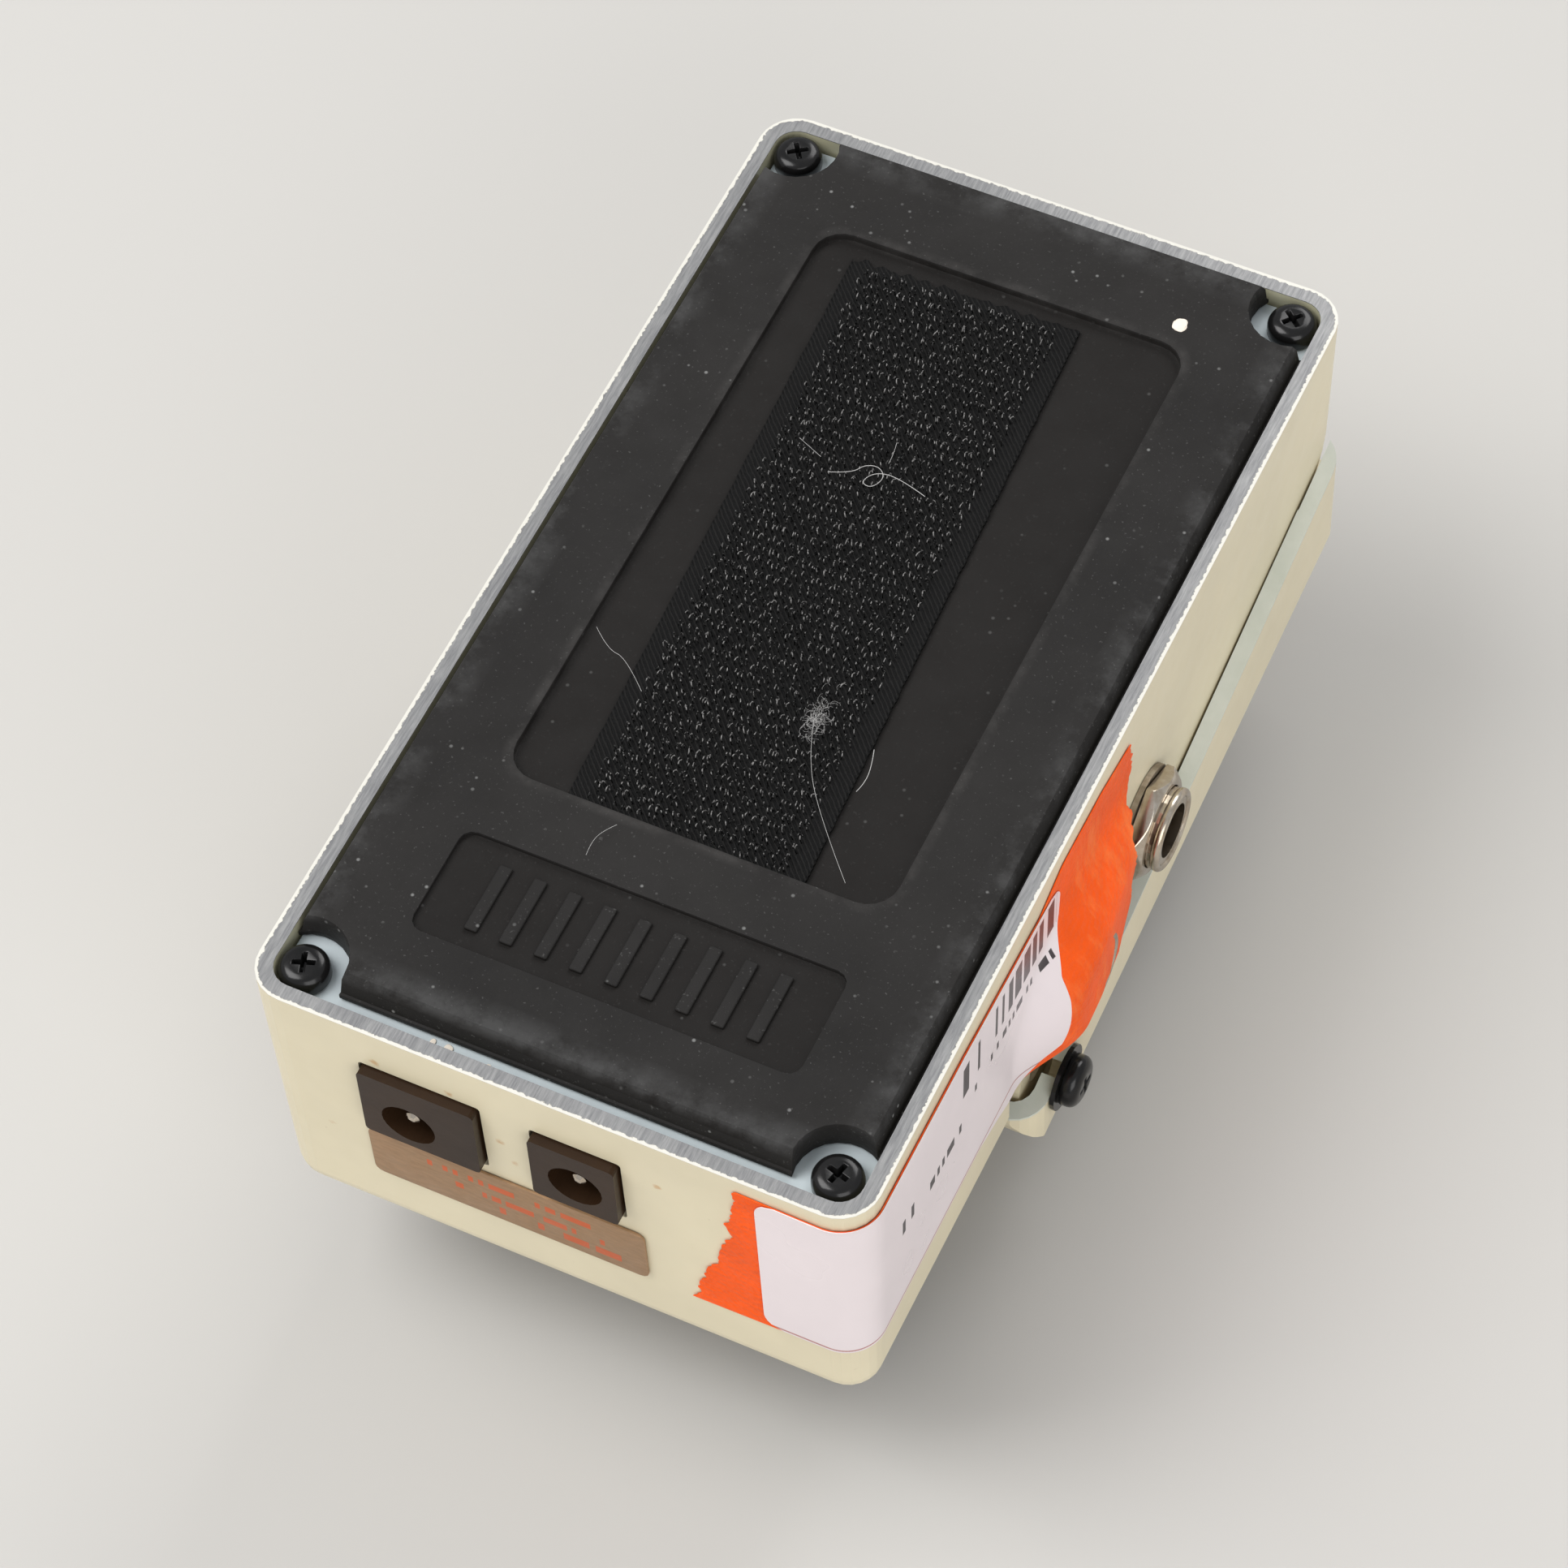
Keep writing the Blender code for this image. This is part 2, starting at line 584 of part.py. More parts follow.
def skin(name, starts, ends, tops, bottoms, offset, thick, key):
    """Thin sheet round the rear right corner, with side edges by row and long edges by distance along."""
    rows, rear, bend, side = 12, 4, 6, 30
    turn = CASE_HALF_X - CASE_CORNER
    turn_end = turn + CASE_CORNER * math.pi / 2
    layers = []
    for extra in (0.0, thick):
        layer = []
        for r in range(rows + 1):
            t = r / rows
            first, last = blend(starts, t), blend(ends, t)
            run = [first + (turn - first) * c / rear for c in range(rear)]
            run += [turn + (turn_end - turn) * c / bend for c in range(bend)]
            run += [turn_end + (last - turn_end) * c / side for c in range(side + 1)]
            for along in run:
                top, bottom = blend(tops, along), blend(bottoms, along)
                depth = top + (bottom - top) * t
                layer.append(wall_point(along, depth, offset + extra + bulge(along, depth)))
        layers.append(layer)
    columns = rear + bend + side
    width = columns + 1
    count = width * (rows + 1)
    verts = layers[0] + layers[1]
    faces = []
    for r in range(rows):
        for c in range(columns):
            i = r * width + c
            quad = [i, i + 1, i + 1 + width, i + width]
            faces.append(quad)
            faces.append([v + count for v in quad[::-1]])
    edge = [c for c in range(columns)] + [columns + r * width for r in range(rows)]
    edge += [rows * width + columns - c for c in range(columns)] + [(rows - r) * width for r in range(rows)]
    for a, b in zip(edge, edge[1:] + edge[:1]):
        faces.append([a, b, b + count, a + count])
    make(name, verts, faces, key)


def build_labels():
    skin("orange_sticker", ((0, 21.1), (0.35, 19.9), (0.65, 17.8), (1, 15.0)),
         ((0, along_at(2.6)), (0.35, along_at(2.0)), (0.5, along_at(0.0)), (1, along_at(-0.4))),
         ((15, 1.7), (along_at(-40), 3.5), (along_at(3), 4.7)),
         ((15, 29.4), (along_at(-30), 28.2), (along_at(-12), 29.5), (along_at(3), 30.5)),
         0.1, 0.2, "orange_vinyl")
    skin("price_label", ((0, 23.2), (1, 23.2)), ((0, along_at(-16.5)), (1, along_at(-17.5))),
         ((23, 4.0), (40, 4.6), (along_at(-16), 5.0)),
         ((23, 28.5), (along_at(-52), 28.6), (along_at(-17), 27.6)),
         0.75, 0.15, "white_vinyl")
    outline = rounded(-22.4, 9.8, 19.9, 28.9, 1.0, 3)
    layers = [[(x, -CASE_HALF_Y + DRAFT * d - lift, z_at(d)) for x, d in outline] for lift in (0.1, 0.4)]
    make("rear_label", *loft(layers), "gold_label")


def main():
    for obj in list(bpy.data.objects):
        bpy.data.objects.remove(obj, do_unlink=True)
    build_case()
    build_base_plate()
    build_rubber_base()
    build_hook_strip()
    build_base_screws()
    build_treadle()
    build_treadle_pad()
    build_hinge_screws()
    build_thumbscrew()
    build_spring()
    build_foot_switch()
    build_battery()
    build_board()
    build_controls()
    build_jacks()
    build_dc_sockets()
    build_labels()


main()
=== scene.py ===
"""Looks for a compact foot pedal that stands upside down on its knobs, base up."""
import math
import random

import bmesh
import bpy
from mathutils import Matrix, Vector, noise


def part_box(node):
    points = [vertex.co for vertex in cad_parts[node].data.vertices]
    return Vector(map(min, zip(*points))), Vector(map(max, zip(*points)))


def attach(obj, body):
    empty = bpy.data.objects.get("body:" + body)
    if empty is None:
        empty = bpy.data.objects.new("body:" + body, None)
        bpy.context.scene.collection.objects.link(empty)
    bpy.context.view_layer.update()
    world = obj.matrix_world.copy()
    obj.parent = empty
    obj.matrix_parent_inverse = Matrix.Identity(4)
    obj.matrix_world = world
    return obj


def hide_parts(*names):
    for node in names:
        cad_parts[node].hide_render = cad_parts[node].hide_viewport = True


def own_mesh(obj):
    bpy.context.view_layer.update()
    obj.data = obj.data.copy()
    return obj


bl_info = {
    "name": "Compact Foot Pedal Looks",
    "version": (1, 0, 0),
    "blender": (4, 5, 0),
    "location": "View3D > Sidebar > Pedal",
    "description": "Finishes, stickers, hook tape and studio for an upturned foot pedal",
    "category": "Object",
}

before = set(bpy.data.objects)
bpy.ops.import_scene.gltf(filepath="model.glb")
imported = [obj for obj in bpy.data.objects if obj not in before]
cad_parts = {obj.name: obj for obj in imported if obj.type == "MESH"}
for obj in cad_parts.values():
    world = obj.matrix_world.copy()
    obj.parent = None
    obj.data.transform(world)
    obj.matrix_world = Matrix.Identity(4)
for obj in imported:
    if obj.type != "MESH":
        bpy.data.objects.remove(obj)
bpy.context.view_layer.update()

MM = 0.001
RIM_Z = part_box("case")[1][2]
HALF_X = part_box("case")[1][0]
HALF_Y = 64 * MM
CORNER = 4.5 * MM
DRAFT = 0.0175
JACK = (-13 * MM, RIM_Z - 24.5 * MM)     # covered rear jack, as y and z
JACK_GAP = 11.5 * MM                     # how far the sticker stays lifted in front of it
LIFT_REACH = 15.0 * MM                   # where the sticker meets the wall again
LIFT_FADE = 9.5 * MM
TREADLE_SLOPE = 0.2057                   # rise of the treadle's inner face along y
TREADLE_LIP = 21.3 * MM                  # height of its unpainted edge at y = 0
# Outlines on the base: half width, half length, corner radius, middle along y.
BASE_OUTLINE = (32.9 * MM, 60.7 * MM, 3.0 * MM, 0.8 * MM)
RECESS_OUTLINE = (22.0 * MM, 39.85 * MM, 3.5 * MM, 9.65 * MM)
RECESS_FLOOR = RIM_Z + 0.9 * MM
SIDE_FACE = 33.5 * MM                    # where the rear corner has turned into the side wall
NUT_SEAT = 35.5 * MM
HINGE_HEAD_SEAT = 37.5 * MM
SCREW_SINK = 2.0 * MM                    # seat of the base screws below the rim
TAPE_FOOT = RIM_Z + 0.55 * MM
TAPE_TOP = RIM_Z + 1.55 * MM
LINT_TOP = RIM_Z + 2.45 * MM

CAMERA_TURN = math.radians(28.325)
CAMERA_RISE = math.radians(56.125)
CAMERA_ROLL = math.radians(-3.572)
CAMERA_AWAY = 0.56298
CAMERA_ASIDE = 0.0034506
CAMERA_BELOW = 0.0163512
CAMERA_LENS = 121.9
CAMERA_SENSOR = 36.0


# ------------------------------------------------------------------ settings

class PedalLooks(bpy.types.PropertyGroup):
    """Colours, hook spacing and light that can be changed"""
    paint: bpy.props.FloatVectorProperty(
        name="Paint", description="Cream enamel of the housing and treadle", subtype="COLOR",
        size=3, default=(0.72, 0.64, 0.45))
    rubber: bpy.props.FloatVectorProperty(
        name="Rubber", description="Moulded base rubber", subtype="COLOR", size=3,
        default=(0.0125, 0.0115, 0.0108))
    sticker: bpy.props.FloatVectorProperty(
        name="Sticker", description="Torn vinyl sticker", subtype="COLOR", size=3,
        default=(1.0, 0.105, 0.0))
    tag: bpy.props.FloatVectorProperty(
        name="Tag", description="Glossy white tag", subtype="COLOR", size=3,
        default=(0.82, 0.73, 0.74))
    hook_pitch: bpy.props.FloatProperty(
        name="Hook Pitch", description="Distance between hooks on the tape", unit="LENGTH",
        default=0.00095)
    key_light: bpy.props.FloatProperty(
        name="Key Light", description="Power of the main soft box", default=10.2, unit="POWER")


# ------------------------------------------------------------------ materials

class Graph:
    """Short way to wire up one material, with all its patterns on object coordinates."""

    def __init__(self, name):
        self.mat = bpy.data.materials.new(name)
        self.mat.use_nodes = True
        self.tree = self.mat.node_tree
        self.shader = self.tree.nodes["Principled BSDF"]
        self.place = self.tree.nodes.new("ShaderNodeTexCoord").outputs["Object"]
        split = self.add("ShaderNodeSeparateXYZ", Vector=self.place)
        self.x, self.y, self.z = split.outputs

    def add(self, kind, **inputs):
        node = self.tree.nodes.new(kind)
        for key, value in inputs.items():
            self.put(node.inputs[key], value)
        return node

    def put(self, socket, value):
        if isinstance(value, bpy.types.NodeSocket):
            self.tree.links.new(value, socket)
        elif isinstance(value, tuple) and len(value) == 3 and socket.type == "RGBA":
            socket.default_value = (*value, 1.0)
        else:
            socket.default_value = value

    def calc(self, operation, a, b=0.0):
        node = self.tree.nodes.new("ShaderNodeMath")
        node.operation = operation
        for socket, value in zip(node.inputs, (a, b)):
            self.put(socket, value)
        return node.outputs[0]

    def fit(self, value, low, high):
        """0 below low, 1 above high, straight between."""
        node = self.tree.nodes.new("ShaderNodeMapRange")
        self.put(node.inputs["Value"], value)
        self.put(node.inputs["From Min"], low)
        self.put(node.inputs["From Max"], high)
        return node.outputs[0]

    def noise(self, scale, detail=4.0, rough=0.6, stretch=None):
        place = self.place
        if stretch:
            place = self.add("ShaderNodeMapping", Vector=place, Scale=stretch).outputs[0]
        node = self.add("ShaderNodeTexNoise", Vector=place, Scale=scale, Detail=detail, Roughness=rough)
        return node.outputs["Fac"]

    def cells(self, scale):
        return self.add("ShaderNodeTexVoronoi", Vector=self.place, Scale=scale).outputs["Distance"]

    def mix(self, share, a, b):
        node = self.tree.nodes.new("ShaderNodeMix")
        node.data_type = "RGBA"
        self.put(node.inputs[0], share)
        self.put(node.inputs[6], a)
        self.put(node.inputs[7], b)
        return node.outputs[2]

    def between(self, value, low, high, soft=0.05 * MM):
        """1 between low and high, fading over twice soft."""
        up = self.fit(value, low - soft, low + soft)
        down = self.fit(value, high + soft, high - soft)
        return self.calc("MULTIPLY", up, down)

    def outline(self, half_x, half_y, radius, mid_y=0.0):
        """Distance outward from a rounded rectangle on the base, in metres."""
        dx = self.calc("SUBTRACT", self.calc("ABSOLUTE", self.x), half_x - radius)
        dy = self.calc("SUBTRACT", self.calc("ABSOLUTE", self.calc("SUBTRACT", self.y, mid_y)),
                       half_y - radius)
        px, py = self.calc("MAXIMUM", dx, 0.0), self.calc("MAXIMUM", dy, 0.0)
        outer = self.calc("SQRT", self.calc("ADD", self.calc("MULTIPLY", px, px),
                                            self.calc("MULTIPLY", py, py)))
        inner = self.calc("MINIMUM", self.calc("MAXIMUM", dx, dy), 0.0)
        return self.calc("SUBTRACT", self.calc("ADD", outer, inner), radius)

    def near(self, spots, radius):
        """1 close to any of the (x, y, z) spots in mm, with a ragged edge."""
        ragged = self.calc("MULTIPLY", self.noise(1400.0, 2.0), radius * 1.4 * MM)
        total = None
        for spot in spots:
            gap = self.add("ShaderNodeVectorMath", Vector=self.place)
            gap.operation = "DISTANCE"
            gap.inputs[1].default_value = [c * MM for c in spot]
            reach = self.calc("ADD", gap.outputs["Value"], ragged)
            hit = self.fit(reach, radius * 1.7 * MM, radius * 1.1 * MM)
            total = hit if total is None else self.calc("MAXIMUM", total, hit)
        return total

    def ticks(self, along, start, end, depth, low, high, pitch, share, seed):
        """Plain upright strokes at random, between start and end along the wall."""
        step = self.calc("FLOOR", self.calc("MULTIPLY", along, 1.0 / pitch))
        dice = self.add("ShaderNodeTexWhiteNoise")
        dice.noise_dimensions = "1D"
        self.put(dice.inputs["W"], self.calc("ADD", step, seed))
        on = self.calc("GREATER_THAN", dice.outputs["Value"], share)
        area = self.calc("MULTIPLY", self.between(depth, low, high), self.between(along, start, end))
        return self.calc("MULTIPLY", on, area)

    def relief(self, height, strength, distance):
        node = self.add("ShaderNodeBump", Height=height, Strength=strength, Distance=distance)
        self.put(self.shader.inputs["Normal"], node.outputs[0])

    def finish(self, color=None, rough=None, metal=None, **flat):
        for key, value in (("Base Color", color), ("Roughness", rough), ("Metallic", metal)):
            if value is not None:
                self.put(self.shader.inputs[key], value)
        for key, value in flat.items():
            self.put(self.shader.inputs[key.replace("_", " ")], value)
        return self.mat


def shade(color, factor):
    return tuple(c * factor for c in color)


def paint_finish(name, paint, rim):
    """Cream enamel. The housing has a bare ground rim and painted shade on the rim's inner wall, the
    treadle bare inner edges.
    """
    g = Graph(name)
    cloud = g.fit(g.noise(55.0, 3.0), 0.35, 0.7)
    color = g.mix(cloud, shade(paint, 1.03), shade(paint, 0.94))
    grime = g.fit(g.noise(420.0, 5.0, 0.7), 0.70, 0.78)
    color = g.mix(g.calc("MULTIPLY", grime, 0.35), color, (0.30, 0.22, 0.11))
    rough = g.fit(g.noise(300.0, 3.0), -1.0, 2.6)
    metal = 0.0
    if rim:
        rust = g.near(((-20, -64, 50.5), (-11.5, -64, 50.2), (-6.2, -64, 44), (-4.8, -64, 40.5),
                       (-5.8, -64, 36), (-27, -64, 33), (12, -64, 48)), 0.6)
        color = g.mix(g.calc("MULTIPLY", rust, 0.55), color, (0.50, 0.23, 0.04))
        bead = g.outline(HALF_X, HALF_Y, CORNER)
        ragged = g.calc("MULTIPLY", g.noise(1700.0, 3.0), 0.7 * MM)
        chips = g.fit(g.calc("ADD", bead, ragged), -0.03 * MM, 0.03 * MM)
        bare = g.calc("MULTIPLY", g.fit(g.z, RIM_Z - 0.12 * MM, RIM_Z - 0.06 * MM),
                      g.calc("SUBTRACT", 1.0, chips))
        scratch = g.noise(1.0, 6.0, 0.75, (3800.0, 260.0, 800.0))
        ground = g.mix(g.fit(scratch, 0.35, 0.65), (0.19, 0.19, 0.195), (0.33, 0.328, 0.322))
        lip = g.calc("MULTIPLY", g.fit(g.z, RIM_Z - 0.1 * MM, RIM_Z - 0.03 * MM), chips)
        lip = g.calc("MULTIPLY", lip, g.fit(bead, -0.9 * MM, -0.6 * MM))
        color = g.mix(lip, color, (0.62, 0.60, 0.54))
        # Painted shade: darker cream on the rim's inner wall, where the gap beside the base plate lies in
        # shade.
        inside = g.calc("MULTIPLY", g.fit(bead, -1.7 * MM, -1.9 * MM),
                        g.fit(g.z, RIM_Z - 4 * MM, RIM_Z - 3 * MM))
        color = g.mix(inside, color, (0.46, 0.44, 0.30))
        color = g.mix(bare, color, ground)
        metal = g.calc("MULTIPLY", bare, 0.85)
        rough = g.calc("ADD", rough, g.calc("MULTIPLY", bare, 0.05))
    else:
        under = g.fit(g.noise(200.0, 4.0), 0.3, 0.7)
        height = g.calc("SUBTRACT", g.z, g.calc("MULTIPLY", g.y, TREADLE_SLOPE))
        edge = g.fit(height, TREADLE_LIP, TREADLE_LIP + 0.3 * MM)
        color = g.mix(edge, color, g.mix(under, (0.62, 0.64, 0.58), (0.54, 0.57, 0.50)))
    g.relief(g.noise(900.0, 3.0), 0.05, 0.0002)
    return g.finish(color, rough, metal, Coat_Weight=0.15, Coat_Roughness=0.25)


def rubber_finish(name, rubber, base):
    """Dusty black rubber. The base is worn grey at its edges and darker in its recesses."""
    g = Graph(name)
    cloud = g.fit(g.noise(38.0, 8.0, 0.65), 0.35, 0.75)
    color = g.mix(cloud, rubber, shade(rubber, 1.6))
    specks = g.fit(g.cells(520.0), 0.13, 0.06)
    thin = g.fit(g.noise(140.0, 2.0), 0.50, 0.60)
    specks = g.calc("MULTIPLY", g.calc("MULTIPLY", specks, thin), 0.5)
    color = g.mix(specks, color, (0.30, 0.30, 0.29))
    grain = g.fit(g.noise(2400.0, 2.0), 0.64, 0.74)
    color = g.mix(g.calc("MULTIPLY", grain, 0.5), color, (0.085, 0.083, 0.080))
    if base:
        floor = g.between(g.z, RIM_Z + 0.3 * MM, RIM_Z + 1.2 * MM)
        floor = g.calc("MULTIPLY", floor, g.fit(g.calc("ABSOLUTE", g.x), 22.4 * MM, 22.2 * MM))
        color = g.mix(g.calc("MULTIPLY", floor, 0.75), color, (0.0078, 0.0064, 0.0055))
        edge = g.outline(*BASE_OUTLINE)
        worn = g.calc("MULTIPLY", g.fit(edge, -4.2 * MM, -1.6 * MM),
                      g.fit(g.noise(110.0, 7.0, 0.7), 0.44, 0.62))
        worn = g.calc("MULTIPLY", worn, g.fit(g.z, RIM_Z + 0.2 * MM, RIM_Z + 1.2 * MM))
        color = g.mix(g.calc("MULTIPLY", worn, 0.6), color, (0.062, 0.061, 0.060))
        ring = g.between(g.outline(*RECESS_OUTLINE), -0.1 * MM, 0.9 * MM, 0.4 * MM)
        dust = g.calc("MULTIPLY", ring, g.fit(g.noise(160.0, 6.0, 0.7), 0.42, 0.66))
        color = g.mix(g.calc("MULTIPLY", dust, 0.4), color, (0.060, 0.056, 0.053))
    swell = g.calc("MULTIPLY", g.noise(160.0, 3.0), 0.6)
    g.relief(g.calc("ADD", g.noise(1500.0, 4.0), swell), 0.22, 0.0003)
    return g.finish(color, g.fit(g.noise(210.0, 4.0), -1.6, 1.5), None, Specular_IOR_Level=0.16)


def metal_finish(name, light, dark, rough, scale=260.0, stretch=None, metallic=1.0):
    """Metal with blotches between two tones. A stretch draws the grain out along an axis."""
    g = Graph(name)
    color = g.mix(g.fit(g.noise(scale, 5.0, 0.65, stretch), 0.35, 0.68), light, dark)
    g.relief(g.noise(scale * 3.0, 3.0, 0.6, stretch), 0.08, 0.0001)
    spread = g.fit(g.noise(scale * 0.6, 3.0), -rough * 8.0, 1.0 + (1.0 - rough) * 3.0)
    return g.finish(color, g.calc("ADD", g.calc("MULTIPLY", spread, 0.3), rough * 0.7), None,
                    Metallic=metallic)


def plastic_finish(name, light, dark, rough, bump, scale, gloss=0.5):
    """Moulded plastic between two tones, with a fine grain."""
    g = Graph(name)
    color = g.mix(g.fit(g.noise(scale * 0.3, 4.0), 0.35, 0.7), light, dark)
    g.relief(g.noise(scale * 3.0, 3.0), bump, 0.00015)
    spread = g.calc("MULTIPLY", g.noise(scale, 3.0), 0.15)
    return g.finish(color, g.calc("ADD", spread, rough - 0.07), None, Specular_IOR_Level=gloss)


def sticker_finish(name, vinyl):
    """Creased vinyl with a pebbled face. On the side wall its creases carry a painted highlight."""
    g = Graph(name)
    color = g.mix(g.fit(g.noise(120.0, 5.0), 0.35, 0.7), vinyl, shade(vinyl, 0.82))
    pebble = g.cells(1500.0)
    creases = g.noise(150.0, 6.0, 0.7, (1.0, 2.2, 0.6))
    side = g.fit(g.x, SIDE_FACE + 0.5 * MM, SIDE_FACE + 1.7 * MM)
    # Painted highlight: lighter orange along the creases on the side wall.
    crease_painted_highlight = g.calc("MULTIPLY", g.fit(creases, 0.5, 0.68), side)
    color = g.mix(g.calc("MULTIPLY", crease_painted_highlight, 0.35), color, (1.0, 0.34, 0.10))
    g.relief(g.calc("ADD", g.calc("MULTIPLY", pebble, 0.5), creases), 0.6, 0.0005)
    return g.finish(color, g.fit(creases, -0.7, 1.6), None, Specular_IOR_Level=0.25)


def tag_finish(name, tag):
    """Glossy tag: bars, two rows of plain ticks and a thin red line, with nothing written on it."""
    g = Graph(name)
    color = g.mix(g.fit(g.noise(60.0, 3.0), 0.3, 0.7), tag, shade(tag, 0.95))
    depth = g.calc("SUBTRACT", RIM_Z, g.z)
    side = g.fit(g.x, SIDE_FACE, SIDE_FACE + 0.3 * MM)

    ink = g.ticks(g.y, -0.0405, -0.0170, depth, 0.0050, 0.0106, 0.00055, 0.48, 3.0)
    rows = ((-0.0380, -0.0190, 0.0126, 0.0139, 0.0005, 11.0),
            (-0.0585, -0.0515, 0.0125, 0.0150, 0.0007, 23.0),
            (-0.0490, -0.0405, 0.0150, 0.0166, 0.0006, 31.0))
    for start, end, low, high, pitch, seed in rows:
        ink = g.calc("MAXIMUM", ink, g.ticks(g.y, start, end, depth, low, high, pitch, 0.55, seed))
    color = g.mix(g.calc("MULTIPLY", ink, side), color, (0.045, 0.035, 0.04))
    line = g.between(depth, 27.9 * MM, 28.2 * MM, 0.04 * MM)
    color = g.mix(g.calc("MULTIPLY", line, 0.8), color, (0.36, 0.07, 0.045))
    g.relief(g.noise(130.0, 3.0), 0.08, 0.0004)
    return g.finish(color, g.fit(g.noise(90.0, 2.0), -0.6, 3.0), None, Specular_IOR_Level=0.3,
                    Coat_Weight=0.12, Coat_Roughness=0.2)


def plate_print(name):
    """Bronze label with plain red marks in place of its printing."""
    g = Graph(name)
    brushed = g.fit(g.noise(500.0, 5.0, 0.7, (1.0, 1.0, 4.0)), 0.3, 0.7)
    color = g.mix(brushed, (0.38, 0.225, 0.12), (0.27, 0.165, 0.085))
    depth = g.calc("SUBTRACT", RIM_Z, g.z)
    marks = None
    rows = ((-0.0160, 0.0035, 0.0218, 0.0229, 0.00060, 5.0),
            (-0.0125, 0.0060, 0.0243, 0.0254, 0.00055, 17.0),
            (-0.0080, 0.0080, 0.0262, 0.0275, 0.00075, 29.0))
    for start, end, low, high, pitch, seed in rows:
        row = g.ticks(g.x, start, end, depth, low, high, pitch, 0.42, seed)
        marks = row if marks is None else g.calc("MAXIMUM", marks, row)
    color = g.mix(g.calc("MULTIPLY", marks, 0.85), color, (0.62, 0.10, 0.02))
    g.relief(g.noise(900.0, 4.0), 0.15, 0.0002)
    return g.finish(color, g.fit(g.noise(300.0, 3.0), -0.6, 1.7), None, Metallic=0.25)


def wear(obj, mat):
    obj.data.materials.clear()
    obj.data.materials.append(mat)


# ------------------------------------------------------------------ making pieces

def clear_selection():
    if bpy.context.object and bpy.context.object.mode != "OBJECT":
        bpy.ops.object.mode_set(mode="OBJECT")
    bpy.ops.object.select_all(action="DESELECT")


def hold(obj):
    clear_selection()
    obj.select_set(True)
    bpy.context.view_layer.objects.active = obj


def settle(obj, name):
    """Applies modifiers and placement, so the object sits at the origin, and names it."""
    hold(obj)
    for mod in list(obj.modifiers):
        bpy.ops.object.modifier_apply(modifier=mod.name)
    bpy.ops.object.transform_apply(location=True, rotation=True, scale=True)
    obj.name = name
    obj.data.name = name
    return obj


def outward(obj):
    """Merges doubled points and turns the faces outwards."""
    hold(obj)
    bpy.ops.object.mode_set(mode="EDIT")
    bpy.ops.mesh.select_all(action="SELECT")
    bpy.ops.mesh.remove_doubles(threshold=0.000002)
    bpy.ops.mesh.normals_make_consistent(inside=False)
    bpy.ops.object.mode_set(mode="OBJECT")


def copy_to(source, name, matrix):
    """A copy with a mesh of its own, moved within its mesh."""
    obj = source.copy()
    obj.data = source.data.copy()
    bpy.context.collection.objects.link(obj)
    obj.data.transform(matrix)
    obj.name = name
    obj.data.name = name
    return obj


def from_threads(bm, name):
    """Turns drawn threads into a piece."""
    mesh = bpy.data.meshes.new(name)
    bm.to_mesh(mesh)
    bm.free()
    obj = bpy.data.objects.new(name, mesh)
    bpy.context.collection.objects.link(obj)
    outward(obj)
    return obj


def soft_edges(obj, width, segments, angle=30.0):
    mod = obj.modifiers.new("soft", "BEVEL")
    mod.width = width
    mod.segments = segments
    mod.limit_method = "ANGLE"
    mod.angle_limit = math.radians(angle)


def thicken(obj, depth, offset):
    mod = obj.modifiers.new("thickness", "SOLIDIFY")
    mod.thickness = depth
    mod.offset = offset


def carve(obj, tool, operation):
    """Cuts or keeps the tool's shape, then throws the tool away."""
    hold(obj)
    mod = obj.modifiers.new("carve", "BOOLEAN")
    mod.object = tool
    mod.operation = operation
    mod.solver = "EXACT"
    bpy.ops.object.modifier_apply(modifier=mod.name)
    bpy.data.objects.remove(tool, do_unlink=True)


def softened(node, name, width, angle=32.0):
    """A copy of a CAD node with merged points and small round edges."""
    obj = copy_to(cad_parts[node], name, Matrix.Identity(4))
    obj.parent = None
    obj.matrix_world = Matrix.Identity(4)
    hold(obj)
    bpy.ops.object.mode_set(mode="EDIT")
    bpy.ops.mesh.select_all(action="SELECT")
    bpy.ops.mesh.remove_doubles(threshold=0.000004)
    bpy.ops.mesh.customdata_custom_splitnormals_clear()
    bpy.ops.mesh.dissolve_limited(angle_limit=math.radians(1.0))
    bpy.ops.object.mode_set(mode="OBJECT")
    soft_edges(obj, width, 3, angle)
    settle(obj, name)
    bpy.ops.object.shade_smooth_by_angle(angle=math.radians(38))
    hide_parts(node)
    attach(obj, "housing")
    return obj


def wall_point(along, depth, lift):
    """Point on the rear and right walls, at a run from the middle of the rear round to the side."""
    inset = DRAFT * depth - lift
    radius = CORNER - inset
    straight = HALF_X - CORNER
    bend = CORNER * math.pi / 2
    z = RIM_Z - depth
    if along < straight:
        return Vector((along, -HALF_Y + inset, z))
    if along < straight + bend:
        a = (along - straight) / CORNER
        return Vector((HALF_X - inset - radius + radius * math.sin(a),
                       -HALF_Y + inset + radius - radius * math.cos(a), z))
    return Vector((HALF_X - inset, -HALF_Y + CORNER + along - straight - bend, z))


SIDE_RUN = HALF_X - CORNER + CORNER * math.pi / 2 + HALF_Y - CORNER


def reading(table, t):
    """Straight-line reading of (place, value) pairs."""
    for (a, low), (b, high) in zip(table, table[1:]):
        if t <= b:
            return low + (high - low) * max(0.0, (t - a) / (b - a))
    return table[-1][1]


def drape(along, depth):
    """Stand-off of a sticker pulled tight from the rear jack's nut towards the front jack."""
    y = along - SIDE_RUN
    ahead = min(max((y - JACK[0]) / JACK_GAP, 0.0), 1.0)
    reach = math.hypot(y - JACK[0] - ahead * JACK_GAP, RIM_Z - depth - JACK[1])
    t = min(max((LIFT_REACH - reach) / LIFT_FADE, 0.0), 1.0)
    return (4.5 - 1.6 * ahead) * MM * t * t * (3 - 2 * t)


